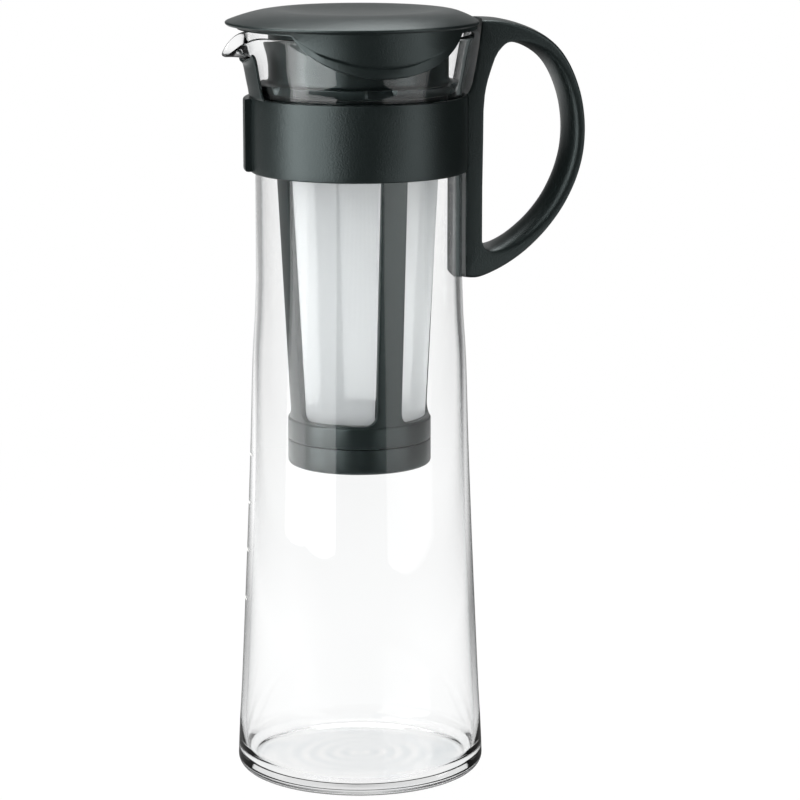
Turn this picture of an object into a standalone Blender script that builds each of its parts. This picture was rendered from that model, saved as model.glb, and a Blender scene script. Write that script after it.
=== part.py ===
"""Cold brew coffee maker: a glass jug with a clasped handle band, a hanging strainer and a lift-off lid.

Metres, +Z up. The origin is on the jug's axis at the face it stands on. The handle points along +X and
the spout along -X, and the part is the same on both sides of the XZ plane, apart from the clasp.
"""

import math

import bmesh
import bpy
from mathutils import Vector

# Clearances
SEAT_GAP = 0.0003
RUNNING_GAP = 0.0004
OVERRUN = 0.010

# Glass jug, from the foot up: a heel, a taper in to a straight neck, and a flared mouth
JUG_HEIGHT = 0.289
FOOT_RADIUS = 0.0483
HEEL_RADIUS = 0.0045
NECK_TAPER = 0.0085
NECK_RADIUS = FOOT_RADIUS - NECK_TAPER
MOUTH_FLARE = 0.0046
MOUTH_RADIUS = NECK_RADIUS + MOUTH_FLARE
MOUTH_HEIGHT = 0.0245
NECK_TOP = JUG_HEIGHT - MOUTH_HEIGHT
NECK_HEIGHT = 0.0695
TAPER_TOP = NECK_TOP - NECK_HEIGHT
GLASS_WALL = 0.0022
GLASS_FLOOR = 0.0035
INNER_CORNER = 0.0075
SPOUT_REACH = 0.0090
SPOUT_DROOP = 0.0068
SPOUT_LIP = 0.0014
SPOUT_HEIGHT = 0.015
SPOUT_ROOT = JUG_HEIGHT - SPOUT_HEIGHT
SPOUT_HALF_ANGLE = math.radians(16.5)
DROOP_HALF_ANGLE = 0.8 * SPOUT_HALF_ANGLE
# Height up the taper from heel to neck, and how much of the foot's extra radius is left there
TAPER_SHARES = (
    (0.0, 1.0),
    (0.07, 0.93),
    (0.15, 0.82),
    (0.32, 0.64),
    (0.49, 0.47),
    (0.66, 0.32),
    (0.83, 0.20),
    (0.92, 0.07),
    (1.0, 0.0),
)
# Height up the mouth from neck to rim, and how much of the mouth's extra radius is reached there
FLARE_SHARES = (
    (0.0, 0.0),
    (0.14, 0.11),
    (0.30, 0.28),
    (0.47, 0.44),
    (0.63, 0.57),
    (0.80, 0.74),
    (0.92, 0.89),
    (1.0, 1.0),
)

# Handle band: the clasped ring round the neck
BAND_HEIGHT = 0.0290
BAND_RISE = 0.0008
BAND_FOOT = NECK_TOP + BAND_RISE - BAND_HEIGHT
BAND_WALL = 0.0015
BAND_CROWN = 0.0003
BAND_SLIT_ANGLE = math.radians(162)
BAND_SLIT_WIDTH = 0.0007
CLASP_NEAR_ANGLE = math.radians(180)
CLASP_FAR_ANGLE = math.radians(152)
CLASP_WALL = 0.0021
TONGUE_HALF_ANGLE = math.radians(16)
TONGUE_DROP = 0.0063
TONGUE_TOP = JUG_HEIGHT - TONGUE_DROP
TONGUE_WALL = 0.0012
TONGUE_GAP = 0.0008
TONGUE_NOTCH = 0.0034
NOTCH_HALF_ANGLE = math.radians(14.5)

# Handle loop
HANDLE_WIDTH = 0.0200
HANDLE_LENGTH = 0.0476
HANDLE_HEIGHT = 0.0991
HANDLE_RISE = 0.0048
HANDLE_ROOT = NECK_RADIUS
HANDLE_REACH = HANDLE_ROOT + HANDLE_LENGTH
HANDLE_TOP = JUG_HEIGHT + HANDLE_RISE
HANDLE_FOOT = HANDLE_TOP - HANDLE_HEIGHT
HANDLE_CROWN = 0.0009
GRIP_BULGE = 0.0050
# Each station: the outer edge, then the edge of the loop, as shares of reach and height, then the bulge
ARM_SHARES = (
    (0.132, 0.997, 0.268, 0.876, 0.05),
    (0.294, 0.992, 0.343, 0.910, 0.10),
    (0.472, 0.970, 0.460, 0.916, 0.30),
    (0.630, 0.939, 0.596, 0.905, 0.56),
    (0.762, 0.893, 0.723, 0.873, 0.76),
    (0.847, 0.839, 0.813, 0.827, 0.88),
    (0.926, 0.760, 0.891, 0.754, 0.94),
    (0.979, 0.681, 0.949, 0.678, 0.98),
    (1.000, 0.584, 0.972, 0.584, 1.00),
    (0.996, 0.487, 0.968, 0.489, 1.00),
    (0.951, 0.408, 0.923, 0.413, 1.00),
    (0.894, 0.330, 0.866, 0.337, 0.98),
    (0.800, 0.253, 0.772, 0.263, 0.96),
    (0.683, 0.176, 0.655, 0.190, 0.92),
    (0.513, 0.100, 0.472, 0.127, 0.80),
    (0.394, 0.063, 0.349, 0.104, 0.60),
    (0.257, 0.025, 0.236, 0.092, 0.40),
    (0.113, 0.000, 0.168, 0.107, 0.20),
    (0.002, 0.002, 0.140, 0.139, 0.08),
)
SPINE_SHARES = (
    (0.000, 0.104, 0.140, 0.195, 0.05),
    (0.000, 0.306, 0.140, 0.356, 0.05),
    (0.000, 0.508, 0.145, 0.528, 0.05),
    (0.000, 0.639, 0.147, 0.649, 0.05),
    (0.000, 0.712, 0.157, 0.709, 0.05),
    (0.030, 0.728, 0.168, 0.740, 0.05),
    (0.053, 0.758, 0.183, 0.770, 0.05),
    (0.087, 0.839, 0.213, 0.815, 0.05),
    (0.111, 0.911, 0.240, 0.851, 0.05),
)

# Strainer frame
SEAT_LOW_SHARE = 0.10
SEAT_HIGH_SHARE = 0.25
CUP_RISE = 0.0027
CUP_TOP = JUG_HEIGHT + CUP_RISE
CUP_INSET = 0.0099
CUP_RADIUS = MOUTH_RADIUS - CUP_INSET
CUP_ROUNDING = 0.0025
STRAINER_LENGTH = 0.1592
STRAINER_WALL = 0.0022
BASKET_INSET = 0.0005
BASKET_TAPER = 0.0068
BASKET_TOP_RADIUS = CUP_RADIUS - BASKET_INSET
BASKET_FOOT_RADIUS = BASKET_TOP_RADIUS - BASKET_TAPER
RING_HEIGHT = 0.0083
RING_FOOT = CUP_TOP - STRAINER_LENGTH
RING_TOP = RING_FOOT + RING_HEIGHT
RING_STEP = 0.0006
RIB_WIDTH = 0.0100
RIB_TURN = math.radians(12.5)
WINDOW_SILL = 0.0004
WINDOW_HEAD = 0.0110
WINDOW_CORNER = 0.0042
WINDOW_FOOT = RING_TOP + WINDOW_SILL
WINDOW_TOP = NECK_TOP + MOUTH_HEIGHT * SEAT_LOW_SHARE - WINDOW_HEAD
PANEL_WALL = 0.0005
WINDOW_COUNT = 4
POUR_GAP_COUNT = 6
POUR_GAP_DEPTH = 0.0026
POUR_GAP_HALF_ANGLE = math.radians(8)

# Strainer cap
CAP_HEIGHT = 0.0098
CAP_CORNER = 0.0016
CAP_FLOOR = 0.0016
SPIGOT_HEIGHT = 0.0060
SPIGOT_WALL = 0.0014

# Lid
LID_CREST_SHARE = 0.66
LID_OVERHANG = 0.0041
LID_RADIUS = MOUTH_RADIUS + LID_OVERHANG
LID_OFFSET = 0.0025
LID_REST = 0.0005
LID_EDGE_FOOT = CUP_TOP + LID_REST
LID_EDGE = 0.0014
LID_HEIGHT = 0.0058
LID_CREST = LID_EDGE_FOOT + LID_HEIGHT
LID_CREST_RADIUS = LID_RADIUS * LID_CREST_SHARE
LID_DISH = 0.0022
LID_WALL = 0.0022
WING_DEPTH = 0.0168
WING_HALF_ANGLE = math.radians(46)
WING_WALL = 0.0015
WING_LIP = 0.0011
LID_HEM_SHARE = 0.08
PLUG_DEPTH = 0.0060
PLUG_WALL = 0.0014

# Smoothness of the round pieces
AROUND = 60
STRAINER_AROUND = 48
ARM_STEPS = 2
ARC_STEPS = 3


def clear_scene():
    for obj in list(bpy.data.objects):
        bpy.data.objects.remove(obj, do_unlink=True)


def material(name, colour, roughness, alpha=1.0):
    """A Principled material, see-through where alpha is under one."""
    made = bpy.data.materials.new(name)
    made.use_nodes = True
    shader = made.node_tree.nodes["Principled BSDF"]
    shader.inputs["Base Color"].default_value = (*colour, 1.0)
    shader.inputs["Roughness"].default_value = roughness
    shader.inputs["Metallic"].default_value = 0.0
    shader.inputs["Alpha"].default_value = alpha
    made.diffuse_color = (*colour, alpha)
    return made


def lerp(start, end, share):
    return start + (end - start) * share


def catmull(before, start, end, after, share):
    """One value on the smooth curve between start and end."""
    return 0.5 * (
        2 * start
        + (end - before) * share
        + (2 * before - 5 * start + 4 * end - after) * share**2
        + (3 * start - before - 3 * end + after) * share**3
    )


def eased_rows(rows, steps):
    """The rows with steps - 1 more between each pair, on one smooth curve."""
    ends = [rows[0], *rows, rows[-1]]
    eased = []
    for i in range(len(rows) - 1):
        near = ends[i : i + 4]
        for step in range(steps):
            eased.append(tuple(catmull(*values, step / steps) for values in zip(*near)))
    eased.append(tuple(rows[-1]))
    return eased


def read_curve(shares, at):
    """The height of a curve of shares over the place at, on straight runs."""
    for (low, first), (high, second) in zip(shares, shares[1:]):
        if at <= high:
            return lerp(first, second, (at - low) / (high - low))
    return shares[-1][1]


def mouth_radius(height):
    """The jug's outer radius above the neck, without the spout."""
    share = max(0.0, (height - NECK_TOP) / (JUG_HEIGHT - NECK_TOP))
    return lerp(NECK_RADIUS, MOUTH_RADIUS, read_curve(FLARE_SHARES, share))


def spout_share(angle, half_angle):
    """How much of the spout there is at an angle round the jug: one at -X, next to nothing past 30 degrees."""
    turned_away = math.pi - abs(math.remainder(angle, 2 * math.pi))
    return math.exp(-((turned_away / half_angle) ** 3))


def spout_rise(height):
    return max(0.0, (height - SPOUT_ROOT) / (JUG_HEIGHT - SPOUT_ROOT))


def spout_push(angle, height):
    return SPOUT_REACH * spout_share(angle, SPOUT_HALF_ANGLE) * spout_rise(height) ** 3.5


def spout_drop(angle, height, wall_share):
    """How far the glass is let down: wall_share is zero on the inside and one on the outside of its wall."""
    depth = SPOUT_DROOP + SPOUT_LIP * wall_share
    return depth * spout_share(angle, DROOP_HALF_ANGLE) * spout_rise(height) ** 2


def arc(centre, radius, start, end, steps=ARC_STEPS):
    """Points (r, z) on an arc, angles in degrees from the outward direction."""
    points = []
    for step in range(steps + 1):
        angle = math.radians(lerp(start, end, step / steps))
        points.append((centre[0] + radius * math.cos(angle), centre[1] + radius * math.sin(angle)))
    return points


def finish(name, bm, look, smooth_angle=35):
    """Turns a bmesh into a named object with its material, shaded smooth but for its sharp edges."""
    bmesh.ops.recalc_face_normals(bm, faces=bm.faces)
    mesh = bpy.data.meshes.new(name)
    bm.to_mesh(mesh)
    bm.free()
    mesh.shade_smooth()
    mesh.set_sharp_from_angle(angle=math.radians(smooth_angle))
    mesh.materials.append(look)
    obj = bpy.data.objects.new(name, mesh)
    bpy.context.scene.collection.objects.link(obj)
    return obj


def turned(name, profile, look, steps=AROUND, closed=False, shape=None):
    """Spins a profile of (r, z) points all the way round the Z axis. shape moves each point afterwards."""
    bm = bmesh.new()
    points = [bm.verts.new((radius, 0.0, height)) for radius, height in profile]
    pairs = list(zip(points, points[1:]))
    if closed:
        pairs.append((points[-1], points[0]))
    edges = [bm.edges.new(pair) for pair in pairs]
    bmesh.ops.spin(
        bm, geom=points + edges, cent=(0, 0, 0), axis=(0, 0, 1), angle=2 * math.pi, steps=steps, use_merge=True
    )
    bmesh.ops.remove_doubles(bm, verts=bm.verts, dist=1e-7)
    for vert in bm.verts:
        if shape:
            vert.co = shape(vert.co)
    return finish(name, bm, look)


def swept(name, profile, start, end, steps, look):
    """Spins a closed profile of (r, z) points part of the way round, with a flat face at each end."""
    bm = bmesh.new()
    corners = [
        bm.verts.new((radius * math.cos(start), radius * math.sin(start), height)) for radius, height in profile
    ]
    face = bm.faces.new(corners)
    bmesh.ops.spin(
        bm,
        geom=[face, *face.edges, *corners],
        cent=(0, 0, 0),
        axis=(0, 0, 1),
        angle=end - start,
        steps=steps,
        use_duplicate=False,
    )
    return finish(name, bm, look)


def skinned(name, inner, outer, look):
    """A solid between two grids of points with as many rows and columns."""
    bm = bmesh.new()
    for grid in (inner, outer):
        rows = [[bm.verts.new(point) for point in row] for row in grid]
        for low, high in zip(rows, rows[1:]):
            for a, b, c, d in zip(low, low[1:], high[1:], high):
                bm.faces.new((a, b, c, d))
    rims = [edge for edge in bm.edges if edge.is_boundary]
    bmesh.ops.bridge_loops(bm, edges=rims)
    return finish(name, bm, look)


def ringed(name, rings, look):
    """A closed hoop through rings of points, the last ring joined to the first."""
    bm = bmesh.new()
    loops = [[bm.verts.new(point) for point in ring] for ring in rings]
    for first, second in zip(loops, loops[1:] + loops[:1]):
        for i in range(len(first)):
            j = (i + 1) % len(first)
            bm.faces.new((first[i], first[j], second[j], second[i]))
    return finish(name, bm, look, smooth_angle=30)


def boolean(target, helper, operation):
    """Joins, cuts or crosses target with a helper, which stays as a wire guide."""
    modifier = target.modifiers.new(helper.name, "BOOLEAN")
    modifier.operation = operation
    modifier.solver = "EXACT"
    modifier.object = helper
    helper.hide_render = True
    helper.display_type = "WIRE"


def axis_empty(name, height, parent=None):
    """An empty on the jug's axis, which carries what lifts or slides along it."""
    empty = bpy.data.objects.new(name, None)
    empty.empty_display_size = NECK_RADIUS
    bpy.context.scene.collection.objects.link(empty)
    empty.location = (0, 0, height)
    if parent:
        empty.parent = parent
        empty.location = (0, 0, height - parent.matrix_world.translation.z)
    bpy.context.view_layer.update()
    return empty


def carried_by(obj, empty):
    obj.parent = empty
    obj.matrix_parent_inverse = empty.matrix_world.inverted()


def jug_profile():
    """From the centre of the underside, up the outside, over the fire-polished rim and down to the floor."""
    heel = arc((FOOT_RADIUS - HEEL_RADIUS, HEEL_RADIUS), HEEL_RADIUS, -90, 0)
    outside = []
    for height_share, radius_share in TAPER_SHARES[1:]:
        height = lerp(HEEL_RADIUS, TAPER_TOP, height_share)
        outside.append((lerp(NECK_RADIUS, FOOT_RADIUS, radius_share), height))
    outside.append((NECK_RADIUS, NECK_TOP))
    lip = GLASS_WALL / 2
    for height_share, radius_share in FLARE_SHARES[1:]:
        height = lerp(NECK_TOP, JUG_HEIGHT - lip, height_share)
        outside.append((lerp(NECK_RADIUS, MOUTH_RADIUS, radius_share), height))
    inside = [(radius - GLASS_WALL, height) for radius, height in outside]
    rim = arc((MOUTH_RADIUS - lip, JUG_HEIGHT - lip), lip, 0, 180)[1:-1]
    # The inside starts above the round corner between wall and floor
    corner_top = GLASS_FLOOR + INNER_CORNER
    inside = [point for point in inside if point[1] > corner_top + HEEL_RADIUS]
    corner_radius = inside[0][0]
    corner = arc((corner_radius - INNER_CORNER, corner_top), INNER_CORNER, 0, -90)
    return [(0.0, 0.0), *heel, *outside, *rim, *reversed(inside), *corner, (0.0, GLASS_FLOOR)]


def pour_shape(co):
    """Draws the mouth out to the spout. The points crowd towards the spout, where the shape is finest."""
    angle = math.atan2(co.y, co.x)
    angle += 0.35 * math.sin(angle)
    radius = math.hypot(co.x, co.y)
    push = spout_push(angle, co.z)
    wall_share = (radius - mouth_radius(co.z) + GLASS_WALL) / GLASS_WALL
    drop = spout_drop(angle, co.z, min(1.0, max(0.0, wall_share)))
    return Vector(((radius + push) * math.cos(angle), (radius + push) * math.sin(angle), co.z - drop))


def make_jug(look):
    return turned("glass_jug", jug_profile(), look, shape=pour_shape)


def handle_stations():
    """Every station round the loop, with a flag where its outer edge faces the jug."""
    arm = eased_rows(ARM_SHARES, ARM_STEPS)
    last = len(arm) - 1
    stations = [(*row, i in (0, last)) for i, row in enumerate(arm)]
    stations += [(*row, True) for row in SPINE_SHARES]
    return stations


def handle_ring(station):
    """The section of the loop at one station: a crowned outer face, flat flanks and a bulged grip."""
    outer_x_share, outer_z_share, inner_x_share, inner_z_share, bulge_share, faces_jug = station
    half = HANDLE_WIDTH / 2
    outer = Vector(
        (lerp(HANDLE_ROOT, HANDLE_REACH, outer_x_share), 0, lerp(HANDLE_FOOT, HANDLE_TOP, outer_z_share))
    )
    inner = Vector(
        (lerp(HANDLE_ROOT, HANDLE_REACH, inner_x_share), 0, lerp(HANDLE_FOOT, HANDLE_TOP, inner_z_share))
    )
    inward = (inner - outer).normalized()
    jug_side = math.hypot(outer.x, half)
    ring = []
    for share in (-1.0, -0.6, 0.0, 0.6, 1.0):
        point = outer - inward * HANDLE_CROWN * (1 - share**2)
        if faces_jug:
            point = Vector((math.sqrt(jug_side**2 - (half * share) ** 2), 0, outer.z))
        ring.append(Vector((point.x, half * share, point.z)))
    for share in (1.0, 0.85, 0.55, 0.0, -0.55, -0.85, -1.0):
        point = inner + inward * GRIP_BULGE * bulge_share * math.sqrt(1 - share**2)
        ring.append(Vector((point.x, half * share, point.z)))
    return ring


def make_tongue(look):
    """The flared upstand under the spout, with a notch that cradles it."""
    columns, rows = 16, 5
    band_top = BAND_FOOT + BAND_HEIGHT
    foot = band_top - 2 * BAND_WALL
    # Above this level the rows fan out to the notched top edge
    clear_of_band = band_top + BAND_WALL / 2
    root_radius = NECK_RADIUS + SEAT_GAP + BAND_WALL / 4
    inner, outer = [], []
    for row in range(rows + 1):
        inner_row, outer_row = [], []
        for column in range(columns + 1):
            turn = lerp(-TONGUE_HALF_ANGLE, TONGUE_HALF_ANGLE, column / columns)
            angle = math.pi + turn
            dip = TONGUE_NOTCH * max(0.0, 1 - abs(turn) / NOTCH_HALF_ANGLE) ** 0.5
            height = foot if row == 0 else lerp(clear_of_band, TONGUE_TOP - dip, (row - 1) / (rows - 1))
            # The level that this part of the glass had before it was let down
            glass_height = height
            for _ in range(8):
                glass_height = height + spout_drop(angle, glass_height, 1.0)
            glass = mouth_radius(glass_height) + spout_push(angle, glass_height)
            radius = max(root_radius, glass + TONGUE_GAP)
            wall = lerp(BAND_WALL / 2, TONGUE_WALL, row / rows)
            direction = Vector((math.cos(angle), math.sin(angle), 0))
            inner_row.append(direction * radius + Vector((0, 0, height)))
            outer_row.append(direction * (radius + wall) + Vector((0, 0, height)))
        inner.append(inner_row)
        outer.append(outer_row)
    return skinned("tongue_guide", inner, outer, look)


def make_handle_band(look):
    """One moulding: a split ring with an overlapping clasp, the tongue under the spout and the handle."""
    inner = NECK_RADIUS + SEAT_GAP
    outer = inner + BAND_WALL
    top = BAND_FOOT + BAND_HEIGHT
    round_off = BAND_WALL / 3
    ring_profile = [
        (inner, BAND_FOOT),
        (outer - round_off, BAND_FOOT),
        (outer, BAND_FOOT + round_off),
        (outer + BAND_CROWN, BAND_FOOT + BAND_HEIGHT / 2),
        (outer, top - round_off),
        (outer - round_off, top),
        (inner, top),
    ]
    slit = BAND_SLIT_WIDTH / outer
    band = swept(
        "handle_band",
        ring_profile,
        BAND_SLIT_ANGLE - 2 * math.pi + slit / 2,
        BAND_SLIT_ANGLE - slit / 2,
        AROUND,
        look,
    )
    loop = ringed("handle_guide", [handle_ring(station) for station in handle_stations()], look)
    plate_inner = outer + BAND_CROWN + SEAT_GAP
    plate_outer = plate_inner + CLASP_WALL
    plate_profile = [
        (plate_inner, BAND_FOOT + round_off),
        (plate_outer - round_off, BAND_FOOT + round_off),
        (plate_outer, BAND_FOOT + 3 * round_off),
        (plate_outer, top - 2 * round_off),
        (plate_outer - round_off, top - round_off),
        (plate_inner, top - round_off),
    ]
    plate = swept("clasp_guide", plate_profile, CLASP_FAR_ANGLE, CLASP_NEAR_ANGLE, 6, look)
    root_inner = inner + BAND_WALL / 2
    root_outer = plate_inner + CLASP_WALL / 2
    root_profile = [
        (root_inner, BAND_FOOT + 2 * round_off),
        (root_outer, BAND_FOOT + 2 * round_off),
        (root_outer, top - 2 * round_off),
        (root_inner, top - 2 * round_off),
    ]
    root_end = BAND_SLIT_ANGLE - 3 * slit
    root = swept("clasp_root_guide", root_profile, CLASP_FAR_ANGLE + slit, root_end, 3, look)
    for guide in (loop, make_tongue(look), root, plate):
        boolean(band, guide, "UNION")
    return band


def basket_radius(height):
    """The strainer's outer radius below its seat, a plain cone."""
    share = (height - RING_TOP) / (seat_low() - RING_TOP)
    return lerp(BASKET_FOOT_RADIUS, BASKET_TOP_RADIUS, share)


def seat_low():
    return lerp(NECK_TOP, JUG_HEIGHT, SEAT_LOW_SHARE)


def seat_high():
    return lerp(NECK_TOP, JUG_HEIGHT, SEAT_HIGH_SHARE)


def seat_radius(height):
    """The flange follows the flare of the jug's throat, a gap inside it."""
    return mouth_radius(height) - GLASS_WALL - SEAT_GAP


def strainer_profile():
    """Down the outside from the cup's rim, over the seat and the basket to the ring, then up the inside."""
    low, high = seat_low(), seat_high()
    edge = STRAINER_WALL / 4
    ring_radius = BASKET_FOOT_RADIUS + RING_STEP
    shoulder = high + CUP_ROUNDING
    return [
        (CUP_RADIUS - STRAINER_WALL + edge, CUP_TOP),
        (CUP_RADIUS - edge, CUP_TOP),
        (CUP_RADIUS, CUP_TOP - edge),
        (CUP_RADIUS, lerp(shoulder, CUP_TOP, 0.5)),
        *arc((CUP_RADIUS - CUP_ROUNDING, shoulder), CUP_ROUNDING, 0, -70, 3),
        (seat_radius(high) - edge, high),
        (seat_radius(high), high - edge),
        (seat_radius(low) - edge, low),
        (BASKET_TOP_RADIUS, low - edge),
        (basket_radius(WINDOW_TOP), WINDOW_TOP),
        (basket_radius(WINDOW_FOOT), WINDOW_FOOT),
        (BASKET_FOOT_RADIUS, RING_TOP),
        (ring_radius, RING_TOP - RING_STEP),
        (ring_radius, RING_FOOT),
        (BASKET_FOOT_RADIUS - STRAINER_WALL, RING_FOOT),
        (BASKET_FOOT_RADIUS - STRAINER_WALL, RING_TOP),
        (basket_radius(WINDOW_FOOT) - STRAINER_WALL, WINDOW_FOOT),
        (basket_radius(WINDOW_TOP) - STRAINER_WALL, WINDOW_TOP),
        (BASKET_TOP_RADIUS - STRAINER_WALL, low - edge),
        (CUP_RADIUS - STRAINER_WALL, shoulder),
        (CUP_RADIUS - STRAINER_WALL, CUP_TOP - edge),
    ]


def window_cutter(name, index, margin, look):
    """A block as wide as the space between two ribs, with its corners rounded, turned to its window."""
    near = RIB_WIDTH / 2 + margin
    far = BASKET_TOP_RADIUS + OVERRUN
    foot, top = WINDOW_FOOT + margin, WINDOW_TOP - margin
    bm = bmesh.new()
    bmesh.ops.create_cube(bm, size=1.0)
    for vert in bm.verts:
        vert.co.x = far if vert.co.x > 0 else near
        vert.co.y = far if vert.co.y > 0 else near
        vert.co.z = top if vert.co.z > 0 else foot
    corners = []
    for edge in bm.edges:
        first, second = (vert.co for vert in edge.verts)
        level = abs(first.z - second.z) < SEAT_GAP
        beside_rib = max(first.x, second.x) < far or max(first.y, second.y) < far
        if level and beside_rib:
            corners.append(edge)
    bmesh.ops.bevel(bm, geom=corners, offset=WINDOW_CORNER - margin, segments=3, profile=0.5, affect="EDGES")
    turn = RIB_TURN + index * 2 * math.pi / WINDOW_COUNT
    for vert in bm.verts:
        x, y = vert.co.x, vert.co.y
        vert.co.x = x * math.cos(turn) - y * math.sin(turn)
        vert.co.y = x * math.sin(turn) + y * math.cos(turn)
    return finish(name, bm, look)


def pour_gap_shape(co):
    """Notches the edge of the seat, so that the brew can leave past it when the jug is tipped."""
    angle = math.atan2(co.y, co.x)
    radius = math.hypot(co.x, co.y)
    spacing = 2 * math.pi / POUR_GAP_COUNT
    in_gap = abs(math.remainder(angle - spacing / 2, spacing)) < POUR_GAP_HALF_ANGLE
    if in_gap and radius > CUP_RADIUS + CUP_ROUNDING:
        radius -= POUR_GAP_DEPTH
    return Vector((radius * math.cos(angle), radius * math.sin(angle), co.z))


def make_strainer_frame(look):
    """The cup, seat, four ribs and bottom ring are one moulding."""
    profile = strainer_profile()
    frame = turned(
        "strainer_frame", profile, look, steps=STRAINER_AROUND, closed=True, shape=pour_gap_shape
    )
    for index in range(WINDOW_COUNT):
        boolean(frame, window_cutter(f"window_cutter_{index + 1}", index, 0.0, look), "DIFFERENCE")
    return frame


def panel_profile():
    """A thin sleeve flush with the inside of the basket's wall, as tall as the windows."""
    outer_foot = basket_radius(WINDOW_FOOT) - STRAINER_WALL + PANEL_WALL
    outer_top = basket_radius(WINDOW_TOP) - STRAINER_WALL + PANEL_WALL
    return [
        (outer_foot - PANEL_WALL, WINDOW_FOOT),
        (outer_foot, WINDOW_FOOT),
        (outer_top, WINDOW_TOP),
        (outer_top - PANEL_WALL, WINDOW_TOP),
    ]


def make_filter_panels(look):
    """Fine mesh, one sheet for each window, seated a gap inside its frame."""
    panels = []
    for index in range(WINDOW_COUNT):
        panel = turned(f"filter_panel_{index + 1}", panel_profile(), look, steps=STRAINER_AROUND, closed=True)
        boolean(panel, window_cutter(f"panel_cutter_{index + 1}", index, SEAT_GAP, look), "INTERSECT")
        panels.append(panel)
    return panels


def make_strainer_cap(look):
    """The cap closes the basket from below, and its spigot pushes up into the ring."""
    top = RING_FOOT - SEAT_GAP
    foot = top - CAP_HEIGHT
    outer = BASKET_FOOT_RADIUS + RING_STEP
    spigot = BASKET_FOOT_RADIUS - STRAINER_WALL - SEAT_GAP
    edge = SPIGOT_WALL / 4
    profile = [
        (0.0, foot),
        *arc((outer - CAP_CORNER, foot + CAP_CORNER), CAP_CORNER, -90, 0, 3),
        (outer, top),
        (spigot, top),
        (spigot, top + SPIGOT_HEIGHT - edge),
        (spigot - edge, top + SPIGOT_HEIGHT),
        (spigot - SPIGOT_WALL, top + SPIGOT_HEIGHT),
        (spigot - SPIGOT_WALL, foot + CAP_FLOOR),
        (0.0, foot + CAP_FLOOR),
    ]
    return turned("strainer_cap", profile, look, steps=STRAINER_AROUND)


def lid_edge_radius(angle):
    """The lid's edge is a circle set off towards the spout, measured here from the jug's axis."""
    return -LID_OFFSET * math.cos(angle) + math.sqrt(LID_RADIUS**2 - (LID_OFFSET * math.sin(angle)) ** 2)


def wing_share(angle):
    """How far the skirt hangs at an angle: all the way at the two sides, a narrow hem elsewhere."""
    from_side = abs(abs(math.remainder(angle, 2 * math.pi)) - math.pi / 2) / WING_HALF_ANGLE
    return max(LID_HEM_SHARE, max(0.0, 1 - from_side**2) ** 0.75)


def lid_shape(co):
    """Sets the disc off towards the spout and lifts the skirt between the two wings."""
    angle = math.atan2(co.y, co.x)
    radius = math.hypot(co.x, co.y)
    height = co.z
    edge = lid_edge_radius(angle)
    shift = edge - lid_edge_radius(math.pi / 2)
    rest_radius = CUP_RADIUS + STRAINER_WALL
    if height >= LID_EDGE_FOOT and radius > rest_radius:
        radius += shift * (radius - rest_radius) / (LID_RADIUS - rest_radius)
    elif radius > rest_radius:
        height = LID_EDGE_FOOT - (LID_EDGE_FOOT - height) * wing_share(angle)
        radius = min(radius, edge - LID_EDGE / 2)
    return Vector((radius * math.cos(angle), radius * math.sin(angle), height))


def lid_profile():
    """Across the dished top from the centre, round the edge, down the wing and back under to the plug."""
    edge_top = LID_EDGE_FOOT + LID_EDGE
    crest_rise = LID_CREST - edge_top
    outer = lid_edge_radius(math.pi / 2)
    wing_inner = MOUTH_RADIUS + RUNNING_GAP
    wing_outer = wing_inner + WING_WALL
    wing_foot = LID_EDGE_FOOT - WING_DEPTH
    groove = lerp(LID_EDGE_FOOT, wing_foot, 0.75)
    plug_outer = CUP_RADIUS - STRAINER_WALL - SEAT_GAP
    seat = CUP_TOP + SEAT_GAP
    ceiling = LID_CREST - LID_DISH - LID_WALL
    top = [
        (0.0, LID_CREST - LID_DISH),
        (LID_CREST_RADIUS * 0.5, LID_CREST - LID_DISH * 0.78),
        (LID_CREST_RADIUS * 0.82, LID_CREST - LID_DISH * 0.28),
        (LID_CREST_RADIUS, LID_CREST),
        (lerp(LID_CREST_RADIUS, outer, 0.25), LID_CREST - crest_rise * 0.08),
        (lerp(LID_CREST_RADIUS, outer, 0.60), LID_CREST - crest_rise * 0.40),
        (lerp(LID_CREST_RADIUS, outer, 0.88), LID_CREST - crest_rise * 0.80),
        (outer, edge_top),
        (outer, LID_EDGE_FOOT),
    ]
    wing = [
        (lerp(wing_outer, outer, 0.60), LID_EDGE_FOOT - LID_EDGE),
        (lerp(wing_outer, outer, 0.20), lerp(LID_EDGE_FOOT, groove, 0.6)),
        (wing_outer, groove),
        (wing_outer + WING_LIP, groove - WING_LIP / 2),
        (wing_outer + WING_LIP, wing_foot + WING_LIP / 2),
        (wing_outer + WING_LIP / 2, wing_foot),
        (wing_inner, wing_foot),
        (wing_inner, groove),
        (wing_inner, LID_EDGE_FOOT - LID_EDGE / 2),
    ]
    under = [
        (CUP_RADIUS + 2 * STRAINER_WALL, seat),
        (plug_outer, seat),
        (plug_outer, seat - PLUG_DEPTH),
        (plug_outer - PLUG_WALL, seat - PLUG_DEPTH),
        (plug_outer - PLUG_WALL, ceiling),
        (0.0, ceiling),
    ]
    return top + wing + under


def make_lid(look):
    return turned("lid", lid_profile(), look, shape=lid_shape)


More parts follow.
